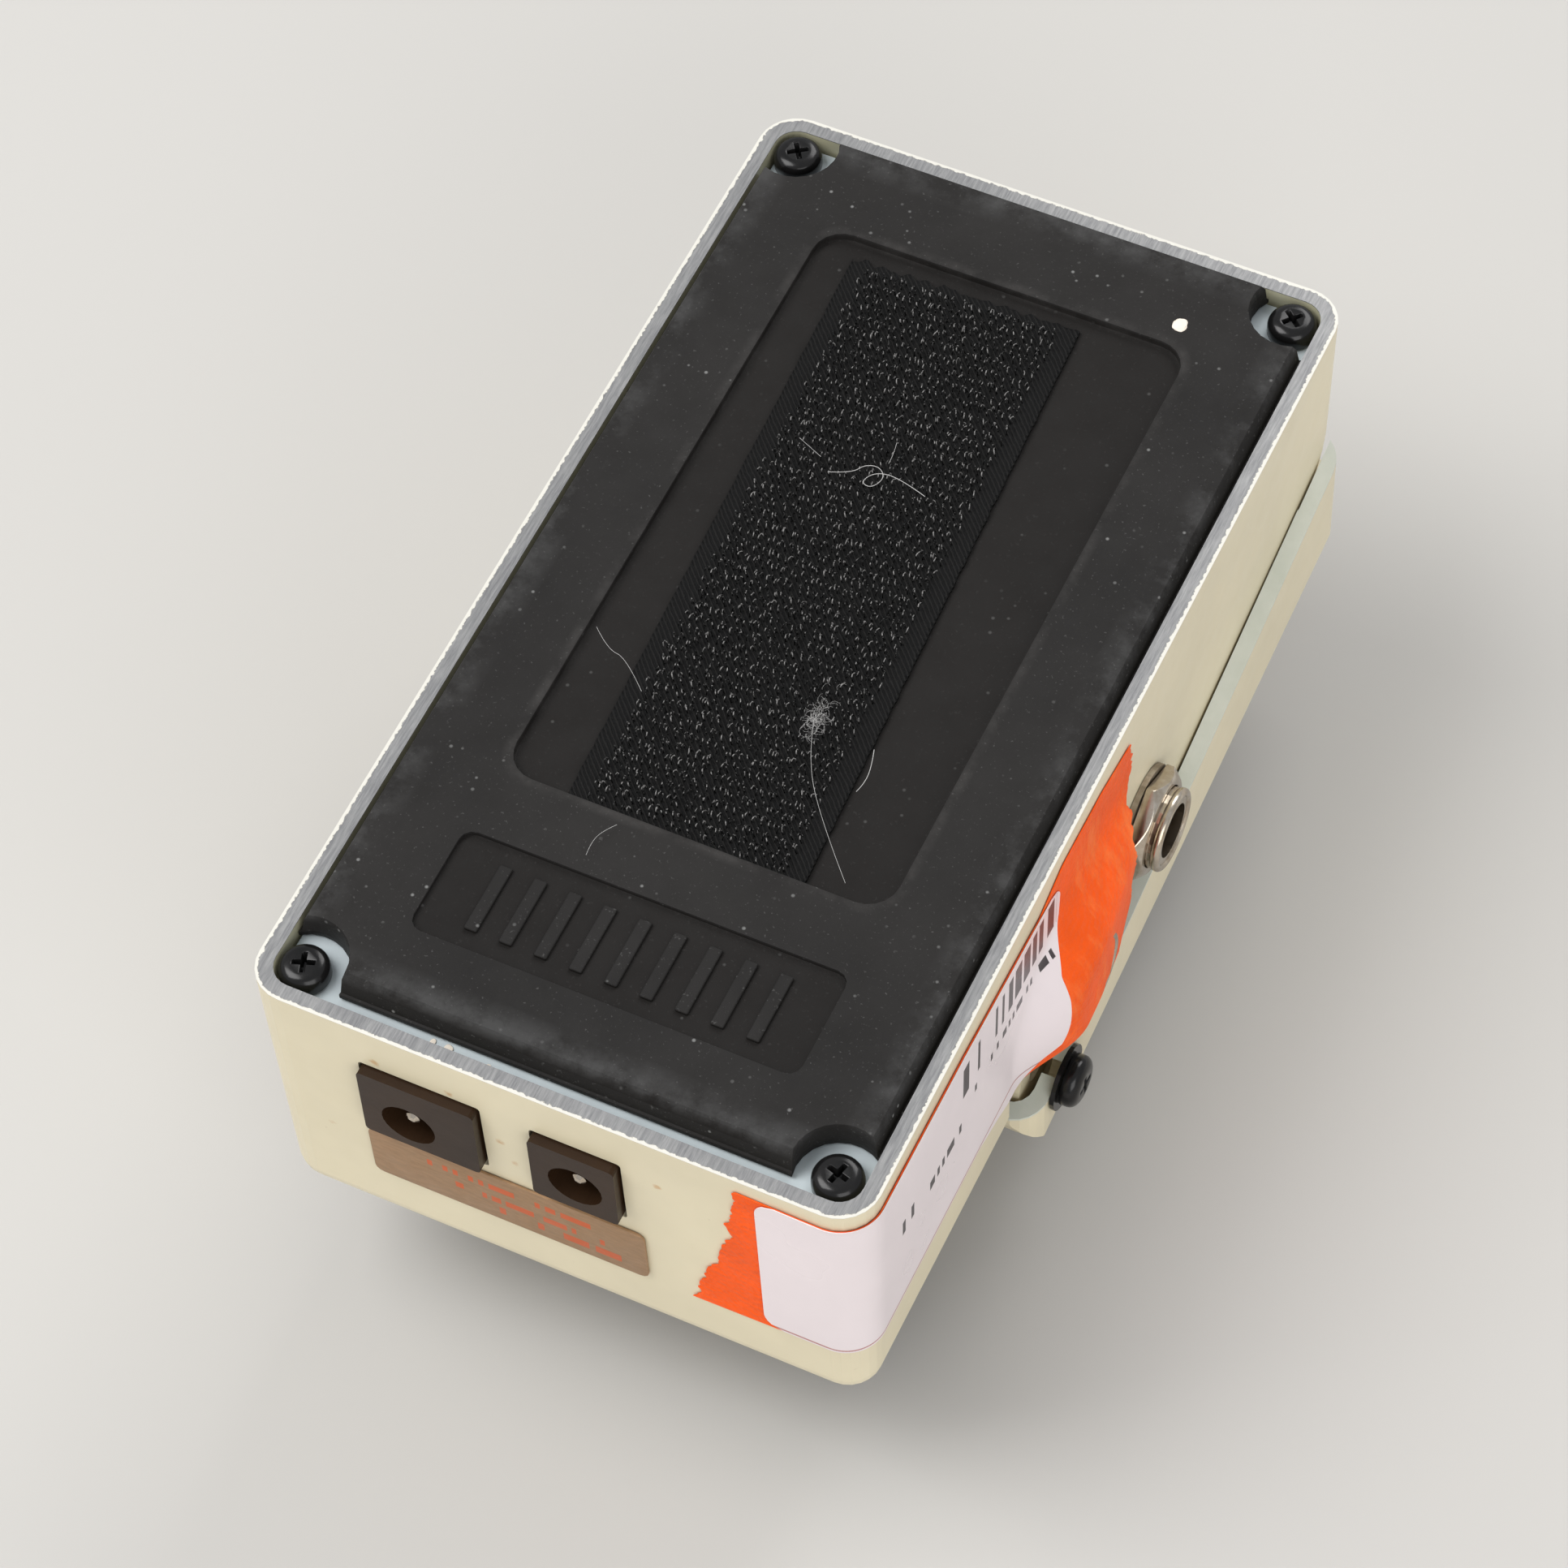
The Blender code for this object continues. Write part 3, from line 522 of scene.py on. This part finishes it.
def along_side(table):
    """A reading in mm against y on the side wall, given as (y, value) pairs in mm."""
    def value(along):
        return reading(table, (along - SIDE_RUN) / MM) * MM
    return value


def skin(name, columns, rows, start, end, top, bottom, lift, thick, ragged):
    """Sheet stuck round the rear corner. Edges are functions of the share across or down."""
    clear_selection()
    bpy.ops.mesh.primitive_grid_add(x_subdivisions=columns, y_subdivisions=rows, size=2.0)
    obj = bpy.context.object
    for v in obj.data.vertices:
        s, t = v.co.x * 0.5 + 0.5, 0.5 - v.co.y * 0.5
        a, b = start(t), end(t)
        along = a + (b - a) * s
        depth = top(along) + (bottom(along) - top(along)) * t
        jag = noise.noise(Vector((t * 9.0, s * 3.0, 2.0)))
        jag += 0.6 * noise.noise(Vector((t * 37.0, s * 5.0, 7.0)))
        edge = max(0.0, 1 - s * 12) + max(0.0, s * 12 - 11)
        along += jag * edge * ragged
        v.co = wall_point(along, depth, lift + drape(along, depth))
    thicken(obj, thick, 1.0)
    settle(obj, name)
    outward(obj)
    bpy.ops.object.shade_smooth_by_angle(angle=math.radians(50))
    return obj


def cross_head(radius, height, name):
    """Pan head with a cross recess, built flat on z = 0 and facing up."""
    clear_selection()
    bpy.ops.mesh.primitive_cylinder_add(vertices=40, radius=radius, depth=height,
                                        location=(0, 0, height / 2))
    head = bpy.context.object
    bpy.ops.object.transform_apply(location=True)
    bpy.ops.object.mode_set(mode="EDIT")
    bm = bmesh.from_edit_mesh(head.data)
    for edge in bm.edges:
        edge.select = all(v.co.z > height * 0.9 for v in edge.verts)
    bmesh.update_edit_mesh(head.data)
    bpy.ops.mesh.bevel(offset=min(height, radius) * 0.55, segments=6, profile=0.5)
    bpy.ops.object.mode_set(mode="OBJECT")
    for turn in (0.0, math.pi / 2):
        clear_selection()
        bpy.ops.mesh.primitive_cube_add(size=1.0, location=(0, 0, height))
        slot = bpy.context.object
        slot.scale = (radius * 1.16, radius * 0.27, height * 1.3)
        slot.rotation_euler = (0, 0, turn)
        bpy.ops.object.transform_apply(location=True, rotation=True, scale=True)
        for v in slot.data.vertices:
            if v.co.z < height:
                v.co.x *= 0.55
                v.co.y *= 0.55
        bpy.ops.object.mode_set(mode="EDIT")
        bpy.ops.mesh.select_all(action="SELECT")
        bpy.ops.mesh.normals_make_consistent(inside=False)
        bpy.ops.object.mode_set(mode="OBJECT")
        carve(head, slot, "DIFFERENCE")
    soft_edges(head, radius * 0.03, 2)
    settle(head, name)
    bpy.ops.object.shade_smooth_by_angle(angle=math.radians(35))
    return head


# ------------------------------------------------------------------ operators

class PEDAL_OT_metalwork(bpy.types.Operator):
    """Gives the housing, treadle and every hard part its finish"""
    bl_idname = "pedal.metalwork"
    bl_label = "Housing and Hard Parts"

    def execute(self, context):
        looks = context.scene.pedal_looks
        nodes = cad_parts
        paint = tuple(looks.paint)
        wear(nodes["case"], paint_finish("housing_enamel", paint, True))
        wear(nodes["treadle"], paint_finish("treadle_enamel", paint, False))
        wear(nodes["base_plate"], metal_finish("base_plate_steel", (0.52, 0.58, 0.60), (0.44, 0.49, 0.51),
                                               0.5, 90.0, None, 0.25))
        # Nickel metal; the darker brown of its two tones is a painted warm reflection.
        nickel = metal_finish("nickel_painted_warm_reflection", (0.62, 0.56, 0.48), (0.40, 0.32, 0.23), 0.16, 420.0)
        dull = metal_finish("aged_nickel", (0.42, 0.37, 0.30), (0.20, 0.15, 0.10), 0.30, 300.0)
        black = metal_finish("black_screw_steel", (0.018, 0.017, 0.017), (0.010, 0.010, 0.010), 0.15, 300.0,
                             None, 0.55)
        socket = plastic_finish("socket_plastic", (0.020, 0.010, 0.005), (0.034, 0.017, 0.008), 0.34, 0.10,
                                260.0, 0.17)
        knob = plastic_finish("knob_plastic", (0.020, 0.020, 0.020), (0.030, 0.029, 0.028), 0.48, 0.25,
                              420.0)
        board = plastic_finish("board_green", (0.025, 0.10, 0.035), (0.04, 0.15, 0.05), 0.35, 0.3, 200.0)
        wrap = metal_finish("battery_wrap", (0.05, 0.05, 0.055), (0.03, 0.03, 0.03), 0.35, 120.0, None, 0.3)
        lens = plastic_finish("lens_red", (0.45, 0.01, 0.01), (0.30, 0.01, 0.01), 0.12, 0.02, 300.0)
        plate = metal_finish("treadle_plate", (0.10, 0.10, 0.105), (0.06, 0.06, 0.065), 0.40, 40.0,
                             (1.0, 12.0, 1.0), 0.8)
        finishes = (("jack_nut", nickel), ("jack_washer", dull), ("jack_body", nickel), ("dc_pin", nickel),
                    ("control_shaft", dull), ("treadle_spring", dull), ("dc_socket", socket),
                    ("hinge_washer", black), ("control_body", knob), ("knob", knob), ("spring_seat", knob),
                    ("foot_switch", knob), ("battery_snap", knob), ("battery", wrap),
                    ("circuit_board", board), ("led_lens", lens), ("name_plate", plate),
                    ("thumbscrew", knob), ("switch_button", knob))
        for name, obj in nodes.items():
            for start, mat in finishes:
                if name.startswith(start):
                    wear(obj, mat)
                    break
        wear(nodes["treadle_pad"], rubber_finish("pad_rubber", tuple(looks.rubber), False))
        return {"FINISHED"}


class PEDAL_OT_base(bpy.types.Operator):
    """Builds the moulded rubber base with its worn edges and plain ribs"""
    bl_idname = "pedal.base"
    bl_label = "Rubber Base"

    def execute(self, context):
        looks = context.scene.pedal_looks
        mat = rubber_finish("base_rubber", tuple(looks.rubber), True)
        base = softened("rubber_base", "moulded_base", 0.4 * MM)
        wear(base, mat)
        clear_selection()
        bpy.ops.mesh.primitive_cube_add(size=1.0, location=(-16 * MM, -45 * MM, RECESS_FLOOR + 0.2 * MM))
        rib = bpy.context.object
        rib.scale = (1.5 * MM, 8.4 * MM, 0.46 * MM)
        bpy.ops.object.transform_apply(location=False, scale=True)
        repeat = rib.modifiers.new("ribs", "ARRAY")
        repeat.count = 9
        repeat.use_relative_offset = False
        repeat.use_constant_offset = True
        repeat.constant_offset_displace = (4 * MM, 0, 0)
        soft_edges(rib, 0.2 * MM, 3)
        settle(rib, "base_ribs")
        bpy.ops.object.shade_smooth_by_angle(angle=math.radians(50))
        wear(rib, mat)
        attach(rib, "housing")
        return {"FINISHED"}


class PEDAL_OT_screws(bpy.types.Operator):
    """Makes the cross-recess screws of the base and the hinge"""
    bl_idname = "pedal.screws"
    bl_label = "Screws"

    def execute(self, context):
        black = bpy.data.materials["black_screw_steel"]
        head = cross_head(2.75 * MM, 2.3 * MM, "screw_pattern")
        wear(head, black)
        turns = (20, 75, 50, 35)    # how far each cross is turned, in degrees
        for i in range(4):
            low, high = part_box(f"base_screw_{i + 1}")
            spot = Vector(((low[0] + high[0]) / 2, (low[1] + high[1]) / 2, RIM_Z - SCREW_SINK))
            screw = copy_to(head, f"base_screw_head_{i + 1}",
                            Matrix.Translation(spot) @ Matrix.Rotation(math.radians(turns[i]), 4, "Z"))
            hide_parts(f"base_screw_{i + 1}")
            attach(screw, "housing")
        for side, sign in (("left", -1), ("right", 1)):
            low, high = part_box(f"hinge_screw_{side}")
            spot = Vector((sign * HINGE_HEAD_SEAT, (low[1] + high[1]) / 2, (low[2] + high[2]) / 2))
            flatter = Matrix.Diagonal((1.1, 1.1, 0.85, 1))
            place = Matrix.Translation(spot) @ Matrix.Rotation(sign * math.pi / 2, 4, "Y") @ flatter
            screw = copy_to(head, f"hinge_screw_head_{side}", place)
            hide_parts(f"hinge_screw_{side}")
            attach(screw, "hinge_pins")
        bpy.data.objects.remove(head, do_unlink=True)
        return {"FINISHED"}


class PEDAL_OT_jack_nuts(bpy.types.Operator):
    """Makes the chamfered jack nuts with the rolled lip of the threaded collar"""
    bl_idname = "pedal.jack_nuts"
    bl_label = "Jack Nuts"

    def execute(self, context):
        clear_selection()
        bpy.ops.mesh.primitive_cylinder_add(vertices=6, radius=6.6 * MM, depth=1.9 * MM,
                                            location=(0, 0, 0.95 * MM))
        nut = bpy.context.object
        bpy.ops.object.transform_apply(location=True)
        clear_selection()
        bpy.ops.mesh.primitive_cone_add(vertices=72, radius1=7.6 * MM, radius2=5.5 * MM, depth=2.0 * MM,
                                        location=(0, 0, 0.95 * MM))
        cone = bpy.context.object
        clear_selection()
        bpy.ops.mesh.primitive_cylinder_add(vertices=48, radius=4.8 * MM, depth=8 * MM)
        hole = bpy.context.object
        carve(nut, cone, "INTERSECT")
        carve(nut, hole, "DIFFERENCE")
        soft_edges(nut, 0.12 * MM, 2)
        settle(nut, "nut_pattern")
        bpy.ops.object.shade_smooth_by_angle(angle=math.radians(35))
        clear_selection()
        collar = 2.85 * MM
        bpy.ops.mesh.primitive_torus_add(major_segments=56, minor_segments=14, major_radius=4.35 * MM,
                                         minor_radius=0.52 * MM, location=(0, 0, collar))
        lip = settle(bpy.context.object, "collar_lip")
        for v in lip.data.vertices:
            v.co.z = collar + (v.co.z - collar) * 1.15
        bpy.ops.object.shade_smooth()
        nut.select_set(True)
        bpy.context.view_layer.objects.active = nut
        bpy.ops.object.join()
        # The nuts' nickel carries a painted warm reflection in its darker brown tone.
        wear(nut, bpy.data.materials["nickel_painted_warm_reflection"])
        for side, sign in (("right", 1), ("left", -1)):
            for i in (1, 2):
                name = f"jack_nut_{side}_{i}"
                low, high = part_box(name)
                spot = Vector((sign * NUT_SEAT, (low[1] + high[1]) / 2, (low[2] + high[2]) / 2))
                turn = Matrix.Rotation(math.radians(12 + 20 * i), 4, "Z")
                place = Matrix.Translation(spot) @ Matrix.Rotation(sign * math.pi / 2, 4, "Y") @ turn
                piece = copy_to(nut, f"hex_nut_{side}_{i}", place)
                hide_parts(name)
                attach(piece, "housing")
        bpy.data.objects.remove(nut, do_unlink=True)
        return {"FINISHED"}


class PEDAL_OT_spring(bpy.types.Operator):
    """Rebuilds the treadle spring with merged points, small round ends and smooth shading, on a mesh of its
    own
    """
    bl_idname = "pedal.spring"
    bl_label = "Treadle Spring"

    def execute(self, context):
        coil = softened("treadle_spring", "sprung_coil", 0.02 * MM, 80.0)
        bpy.ops.object.shade_smooth_by_angle(angle=math.radians(70))
        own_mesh(coil)
        return {"FINISHED"}


class PEDAL_OT_stickers(bpy.types.Operator):
    """Wraps the torn sticker, the glossy tag and the rear label on the walls"""
    bl_idname = "pedal.stickers"
    bl_label = "Stickers"

    def execute(self, context):
        looks = context.scene.pedal_looks

        def torn_start(t):
            return reading(((0, 21.1), (0.35, 19.9), (0.65, 17.8), (1, 14.8)), t) * MM

        def torn_end(t):
            edge = reading(((0, 2.8), (0.2, 3.5), (0.33, 0.9), (0.45, -0.4), (0.6, -1.4), (0.8, -2.6),
                            (0.92, -4.4), (1, -6.8)), t)
            return SIDE_RUN + edge * MM

        torn_top = along_side(((-96, 1.8), (-91, 2.4), (-90, 4.2), (-82, 3.2), (-76, 2.1), (-69, 2.4),
                               (-40, 3.1), (-21, 4.6), (-15, 2.6), (-5, 3.0), (4, 4.6)))
        torn_bottom = along_side(((-100, 29.4), (-62, 28.6), (-34, 29.0), (-29, 30.6), (-26, 31.0),
                                  (-22.5, 30.2), (-18.6, 28.8), (-14, 28.0), (-12, 27.2), (-10, 28.2),
                                  (-6.5, 29.4), (4, 30.2)))
        sticker = skin("torn_sticker", 170, 60, torn_start, torn_end, torn_top, torn_bottom,
                       0.1 * MM, 0.14 * MM, 1.1 * MM)
        wear(sticker, sticker_finish("orange_vinyl", tuple(looks.sticker)))
        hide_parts("orange_sticker")
        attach(sticker, "housing")

        def corner(t):
            """Round corners of the tag."""
            gap = max(0.0, 0.09 - min(t, 1 - t)) / 0.09
            return 2.2 * (1 - math.sqrt(max(0.0, 1 - gap * gap)))

        def tag_end(t):
            edge = reading(((0, -16.0), (0.25, -16.3), (0.4, -18.0), (0.55, -19.7), (0.7, -20.1),
                            (0.85, -20.8), (1, -21.7)), t)
            return SIDE_RUN + (edge - corner(min(t, 0.5))) * MM

        tag_top = along_side(((-90, 4.0), (-82, 3.0), (-76, 1.9), (-69, 2.2), (-40, 2.9), (-16, 4.7)))
        tag_bottom = along_side(((-91, 28.5), (-52, 28.4), (-36, 28.4), (-31, 29.6), (-28.2, 30.6),
                                 (-25.8, 30.5), (-24.6, 29.4), (-23.5, 27.6), (-21.7, 26.2), (-15, 26.0)))
        tag = skin("glossy_tag", 150, 48, lambda t: (23.2 + corner(t)) * MM, tag_end, tag_top, tag_bottom,
                   0.33 * MM, 0.10 * MM, 0.0)
        wear(tag, tag_finish("tag_gloss", tuple(looks.tag)))
        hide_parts("price_label")
        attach(tag, "housing")
        label = softened("rear_label", "rear_marking_plate", 0.05 * MM)
        wear(label, plate_print("bronze_print"))
        return {"FINISHED"}


class PEDAL_OT_hook_tape(bpy.types.Operator):
    """Lays the hook tape with its hooks and frayed ends"""
    bl_idname = "pedal.hook_tape"
    bl_label = "Hook Tape"

    def execute(self, context):
        looks = context.scene.pedal_looks
        rear = Vector((-14.4, -30.4, 0)), Vector((12.8, -30.9, 0))
        front = Vector((-17.5, 46.8, 0)), Vector((9.7, 47.5, 0))

        def spot(u, v):
            """Point on the slightly turned tape, by the share across and along it."""
            return rear[0].lerp(rear[1], u).lerp(front[0].lerp(front[1], u), v) * MM

        g = Graph("hook_tape_weave")
        weave = g.add("ShaderNodeTexWave", Vector=g.place, Scale=900.0, Distortion=1.5, Detail=2.0)
        weave.wave_type = "BANDS"
        weave.bands_direction = "DIAGONAL"
        cross = g.noise(2600.0, 2.0)
        height = g.calc("ADD", weave.outputs["Fac"], cross)
        color = g.mix(g.fit(height, 0.6, 1.5), (0.003, 0.003, 0.003), (0.010, 0.0095, 0.009))
        g.relief(height, 0.7, 0.0003)
        band_mat = g.finish(color, g.fit(cross, -1.5, 1.5), None, Specular_IOR_Level=0.12)
        g = Graph("hook_nylon")
        color = g.mix(g.fit(g.noise(700.0, 2.0), 0.4, 0.7), (0.003, 0.003, 0.003), (0.010, 0.0095, 0.009))
        # Painted glints: pale grey specks near the hook tips stand in for highlights on the glossy nylon.
        painted_tip_glints = g.calc("MULTIPLY", g.fit(g.z, TAPE_TOP - 0.35 * MM, TAPE_TOP),
                      g.fit(g.noise(1900.0, 1.0), 0.48, 0.58))
        color = g.mix(g.calc("MULTIPLY", painted_tip_glints, 0.8), color, (0.30, 0.29, 0.28))
        hook_mat = g.finish(color, g.fit(g.noise(1200.0, 2.0), -0.35, 2.6), None, Specular_IOR_Level=0.3)
        thick = 0.45 * MM
        clear_selection()
        bpy.ops.mesh.primitive_grid_add(x_subdivisions=60, y_subdivisions=160, size=2.0)
        band = bpy.context.object
        for v in band.data.vertices:
            u, w = v.co.x * 0.5 + 0.5, v.co.y * 0.5 + 0.5
            p = spot(u, w)
            end = max(0.0, 1 - w * 40) + max(0.0, w * 40 - 39)
            fray = noise.noise(Vector((u * 26, w * 4, 1)))
            p.y += fray * end * 0.9 * MM
            side = max(0.0, 1 - u * 20) + max(0.0, u * 20 - 19)
            p.x += noise.noise(Vector((w * 50, u, 5))) * side * 0.12 * MM
            p.z = TAPE_FOOT + thick + noise.noise(p * 260) * 0.10 * MM
            v.co = p
        thicken(band, thick, -1.0)
        settle(band, "hook_tape")
        outward(band)
        bpy.ops.object.shade_smooth()
        wear(band, band_mat)
        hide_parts("hook_strip")
        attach(band, "housing")
        rng = random.Random(4)
        pitch = looks.hook_pitch
        across, along = int(23.4 * MM / pitch), int(76 * MM / (pitch * 0.82))
        bm = bmesh.new()
        for j in range(along):
            for i in range(across):
                u = 0.075 + 0.85 * (i + 0.5 + 0.5 * (j % 2 - 0.5) + rng.uniform(-0.22, 0.22)) / across
                v = 0.012 + 0.976 * (j + 0.5 + rng.uniform(-0.2, 0.2)) / along
                p = spot(u, v)
                p.z = TAPE_FOOT + 0.4 * MM
                turn = rng.uniform(-0.5, 0.5) + (0 if j % 2 else math.pi)
                lean = rng.uniform(-0.3, 0.3)
                tall = rng.uniform(0.8, 1.15) * MM
                reach = rng.uniform(0.35, 0.6) * MM
                hook(bm, p, turn, lean, tall, reach, 0.075 * MM)
        hooks = from_threads(bm, "tape_hooks")
        bpy.ops.object.shade_smooth()
        wear(hooks, hook_mat)
        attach(hooks, "housing")
        return {"FINISHED"}


def hook(bm, foot, turn, lean, tall, reach, radius):
    """One thin bent thread, three sided, from the tape up and over."""
    ahead = Vector((math.sin(turn), math.cos(turn), 0))
    side = Vector((ahead.y, -ahead.x, 0))
    path = [Vector((0, 0, 0)), Vector((0, 0, tall * 0.7)), Vector((0, reach * 0.35, tall)),
            Vector((0, reach, tall * 0.88)), Vector((0, reach * 1.15, tall * 0.55))]
    last = None
    for p in path:
        mid = foot + ahead * p.y + side * (lean * p.z) + Vector((0, 0, p.z))
        ring = [bm.verts.new(mid + side * radius),
                bm.verts.new(mid - side * radius * 0.5 + ahead * radius * 0.86),
                bm.verts.new(mid - side * radius * 0.5 - ahead * radius * 0.86)]
        if last:
            for k in range(3):
                bm.faces.new((last[k], last[(k + 1) % 3], ring[(k + 1) % 3], ring[k]))
        else:
            bm.faces.new(ring[::-1])
        last = ring
    bm.faces.new(last)


class PEDAL_OT_lint(bpy.types.Operator):
    """Adds the pale hairs, fluff and paint flecks caught on the base"""
    bl_idname = "pedal.lint"
    bl_label = "Lint and Flecks"

    def execute(self, context):
        g = Graph("pale_lint")
        mat = g.finish(g.mix(g.noise(900.0), (0.30, 0.29, 0.28), (0.55, 0.54, 0.52)),
                       g.fit(g.noise(500.0), -1.0, 1.5))
        rng = random.Random(11)
        hairs = (((-7, 17.9), (-4.5, 18.8), (-3.7, 20.2), (-2.2, 20.8), (-1, 19.6), (-1.8, 17.7),
                  (-3.3, 18.2), (-2.2, 20), (0.5, 20.2), (4, 19)),
                 ((12.7, -12.8), (13.3, -14.6), (13.6, -16.9), (13.3, -18.5)),
                 ((-1.8, 24.4), (-1.5, 22.8), (-1.4, 21.4)), ((-11.7, 20.7), (-9.9, 20), (-8.5, 19.4)),
                 ((-20.7, -10.5), (-18.4, -12.6), (-16, -12.9), (-12.7, -16)),
                 ((-7.6, -32.1), (-8.6, -33.4), (-9.1, -35.1), (-8.8, -36.8)),
                 ((5.4, -11.9), (6.8, -16.3), (10.7, -22.3), (17, -29.1)))
        for i, points in enumerate(hairs):
            curve = bpy.data.curves.new(f"hair_{i}", "CURVE")
            curve.dimensions = "3D"
            curve.bevel_depth = (0.038 if i < 2 else 0.022) * MM
            curve.bevel_resolution = 1
            curve.resolution_u = 8
            spline = curve.splines.new("NURBS")
            spline.points.add(len(points) - 1)
            spline.use_endpoint_u = True
            spline.order_u = 3
            for point, (x, y) in zip(spline.points, points):
                point.co = (x * MM, y * MM, LINT_TOP + rng.uniform(-0.3, 0.15) * MM, 1)
            obj = bpy.data.objects.new(f"hair_{i}", curve)
            bpy.context.collection.objects.link(obj)
            hold(obj)
            bpy.ops.object.convert(target="MESH")
            obj = bpy.context.object
            wear(obj, mat)
            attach(obj, "housing")
        fluff = bmesh.new()
        for _ in range(90):
            mid = Vector((5.7 + rng.gauss(0, 0.35), -11.6 + rng.gauss(0, 1.2), 0)) * MM
            mid.z = LINT_TOP - rng.uniform(0.0, 0.5) * MM
            hook(fluff, mid, rng.uniform(0, 6.3), rng.uniform(-2, 2), 0.35 * MM, 0.9 * MM, 0.010 * MM)
        tuft = from_threads(fluff, "fluff_tuft")
        wear(tuft, mat)
        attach(tuft, "housing")
        g = Graph("cream_fleck")
        fleck_mat = g.finish(g.mix(g.noise(1500.0), (0.70, 0.60, 0.48), (0.80, 0.74, 0.66)),
                             g.fit(g.noise(900.0), -1.0, 1.5))
        spots = ((19.6, 52.3, RIM_Z / MM + 1.55, 0.85), (-12.6, -61.0, RIM_Z / MM - 2.1, 0.5),
                 (-14.5, -60.9, RIM_Z / MM - 2.1, 0.35), (-8, -61.2, RIM_Z / MM - 2.1, 0.3))
        for i, (x, y, z, size) in enumerate(spots):
            clear_selection()
            bpy.ops.mesh.primitive_ico_sphere_add(subdivisions=3, radius=size * MM,
                                                  location=(x * MM, y * MM, z * MM))
            fleck = bpy.context.object
            for v in fleck.data.vertices:
                v.co *= 1 + 0.35 * noise.noise(v.co * 1600 + Vector((i, 0, 0)))
                v.co.z *= 0.12
            settle(fleck, f"paint_fleck_{i}")
            bpy.ops.object.shade_smooth()
            wear(fleck, fleck_mat)
            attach(fleck, "housing")
        return {"FINISHED"}


class PEDAL_OT_stage(bpy.types.Operator):
    """Sets the pale floor, the soft boxes and the camera"""
    bl_idname = "pedal.stage"
    bl_label = "Stage"

    def execute(self, context):
        looks = context.scene.pedal_looks
        clear_selection()
        bpy.ops.mesh.primitive_plane_add(size=6.0, location=(0, 0, 0))
        floor = bpy.context.object
        floor.name = "studio_floor"
        g = Graph("studio_floor")
        wear(floor, g.finish(g.mix(g.noise(3.0, 2.0), (0.47, 0.455, 0.43), (0.49, 0.475, 0.45)),
                             Roughness=0.85))
        for name, place, size, power in (("key", (-0.55, -0.25, 0.95), 0.7, 1.0),
                                         ("fill", (0.75, -0.75, 0.55), 0.8, 0.58),
                                         ("back", (0.1, 0.9, 0.8), 0.6, 0.55)):
            light = bpy.data.lights.new(name, "AREA")
            light.size = size
            light.energy = looks.key_light * power
            lamp = bpy.data.objects.new(name, light)
            lamp.location = place
            aim = Vector((0, 0, 0.03)) - Vector(place)
            lamp.rotation_euler = aim.to_track_quat("-Z", "Y").to_euler()
            context.collection.objects.link(lamp)
        world = bpy.data.worlds.new("studio")
        world.use_nodes = True
        sky = world.node_tree.nodes["Background"]
        sky.inputs["Color"].default_value = (0.95, 0.97, 1.0, 1)
        sky.inputs["Strength"].default_value = 0.57
        context.scene.world = world
        back = Vector((math.sin(CAMERA_TURN) * math.cos(CAMERA_RISE),
                       -math.cos(CAMERA_TURN) * math.cos(CAMERA_RISE), math.sin(CAMERA_RISE)))
        right = Vector((math.cos(CAMERA_TURN), math.sin(CAMERA_TURN), 0))
        up = back.cross(right)
        across = right * math.cos(CAMERA_ROLL) + up * math.sin(CAMERA_ROLL)
        upward = up * math.cos(CAMERA_ROLL) - right * math.sin(CAMERA_ROLL)
        place = back * CAMERA_AWAY - across * CAMERA_ASIDE - upward * CAMERA_BELOW + Vector((0, 0, RIM_Z))
        camera = bpy.data.cameras.new("camera")
        camera.sensor_width = CAMERA_SENSOR
        camera.lens = CAMERA_LENS
        camera.clip_start = 0.01
        eye = bpy.data.objects.new("camera", camera)
        eye.matrix_world = Matrix.Translation(place) @ Matrix((across, upward, back)).transposed().to_4x4()
        context.collection.objects.link(eye)
        context.scene.camera = eye
        context.scene.view_settings.view_transform = "Standard"
        return {"FINISHED"}


STEPS = (PEDAL_OT_metalwork, PEDAL_OT_base, PEDAL_OT_screws, PEDAL_OT_jack_nuts, PEDAL_OT_spring,
         PEDAL_OT_stickers, PEDAL_OT_hook_tape, PEDAL_OT_lint, PEDAL_OT_stage)


class PEDAL_PT_panel(bpy.types.Panel):
    """Lists the steps that dress the pedal"""
    bl_label = "Pedal"
    bl_idname = "PEDAL_PT_panel"
    bl_space_type = "VIEW_3D"
    bl_region_type = "UI"
    bl_category = "Pedal"

    def draw(self, context):
        for key in PedalLooks.__annotations__:
            self.layout.prop(context.scene.pedal_looks, key)
        for step in STEPS:
            self.layout.operator(step.bl_idname)


CLASSES = (PedalLooks, *STEPS, PEDAL_PT_panel)


def register():
    for cls in CLASSES:
        bpy.utils.register_class(cls)
    bpy.types.Scene.pedal_looks = bpy.props.PointerProperty(type=PedalLooks)


def unregister():
    del bpy.types.Scene.pedal_looks
    for cls in reversed(CLASSES):
        bpy.utils.unregister_class(cls)


def main():
    register()
    bpy.ops.pedal.metalwork()
    bpy.ops.pedal.base()
    bpy.ops.pedal.screws()
    bpy.ops.pedal.jack_nuts()
    bpy.ops.pedal.spring()
    bpy.ops.pedal.stickers()
    bpy.ops.pedal.hook_tape()
    bpy.ops.pedal.lint()
    bpy.ops.pedal.stage()


if __name__ == "__main__":
    main()
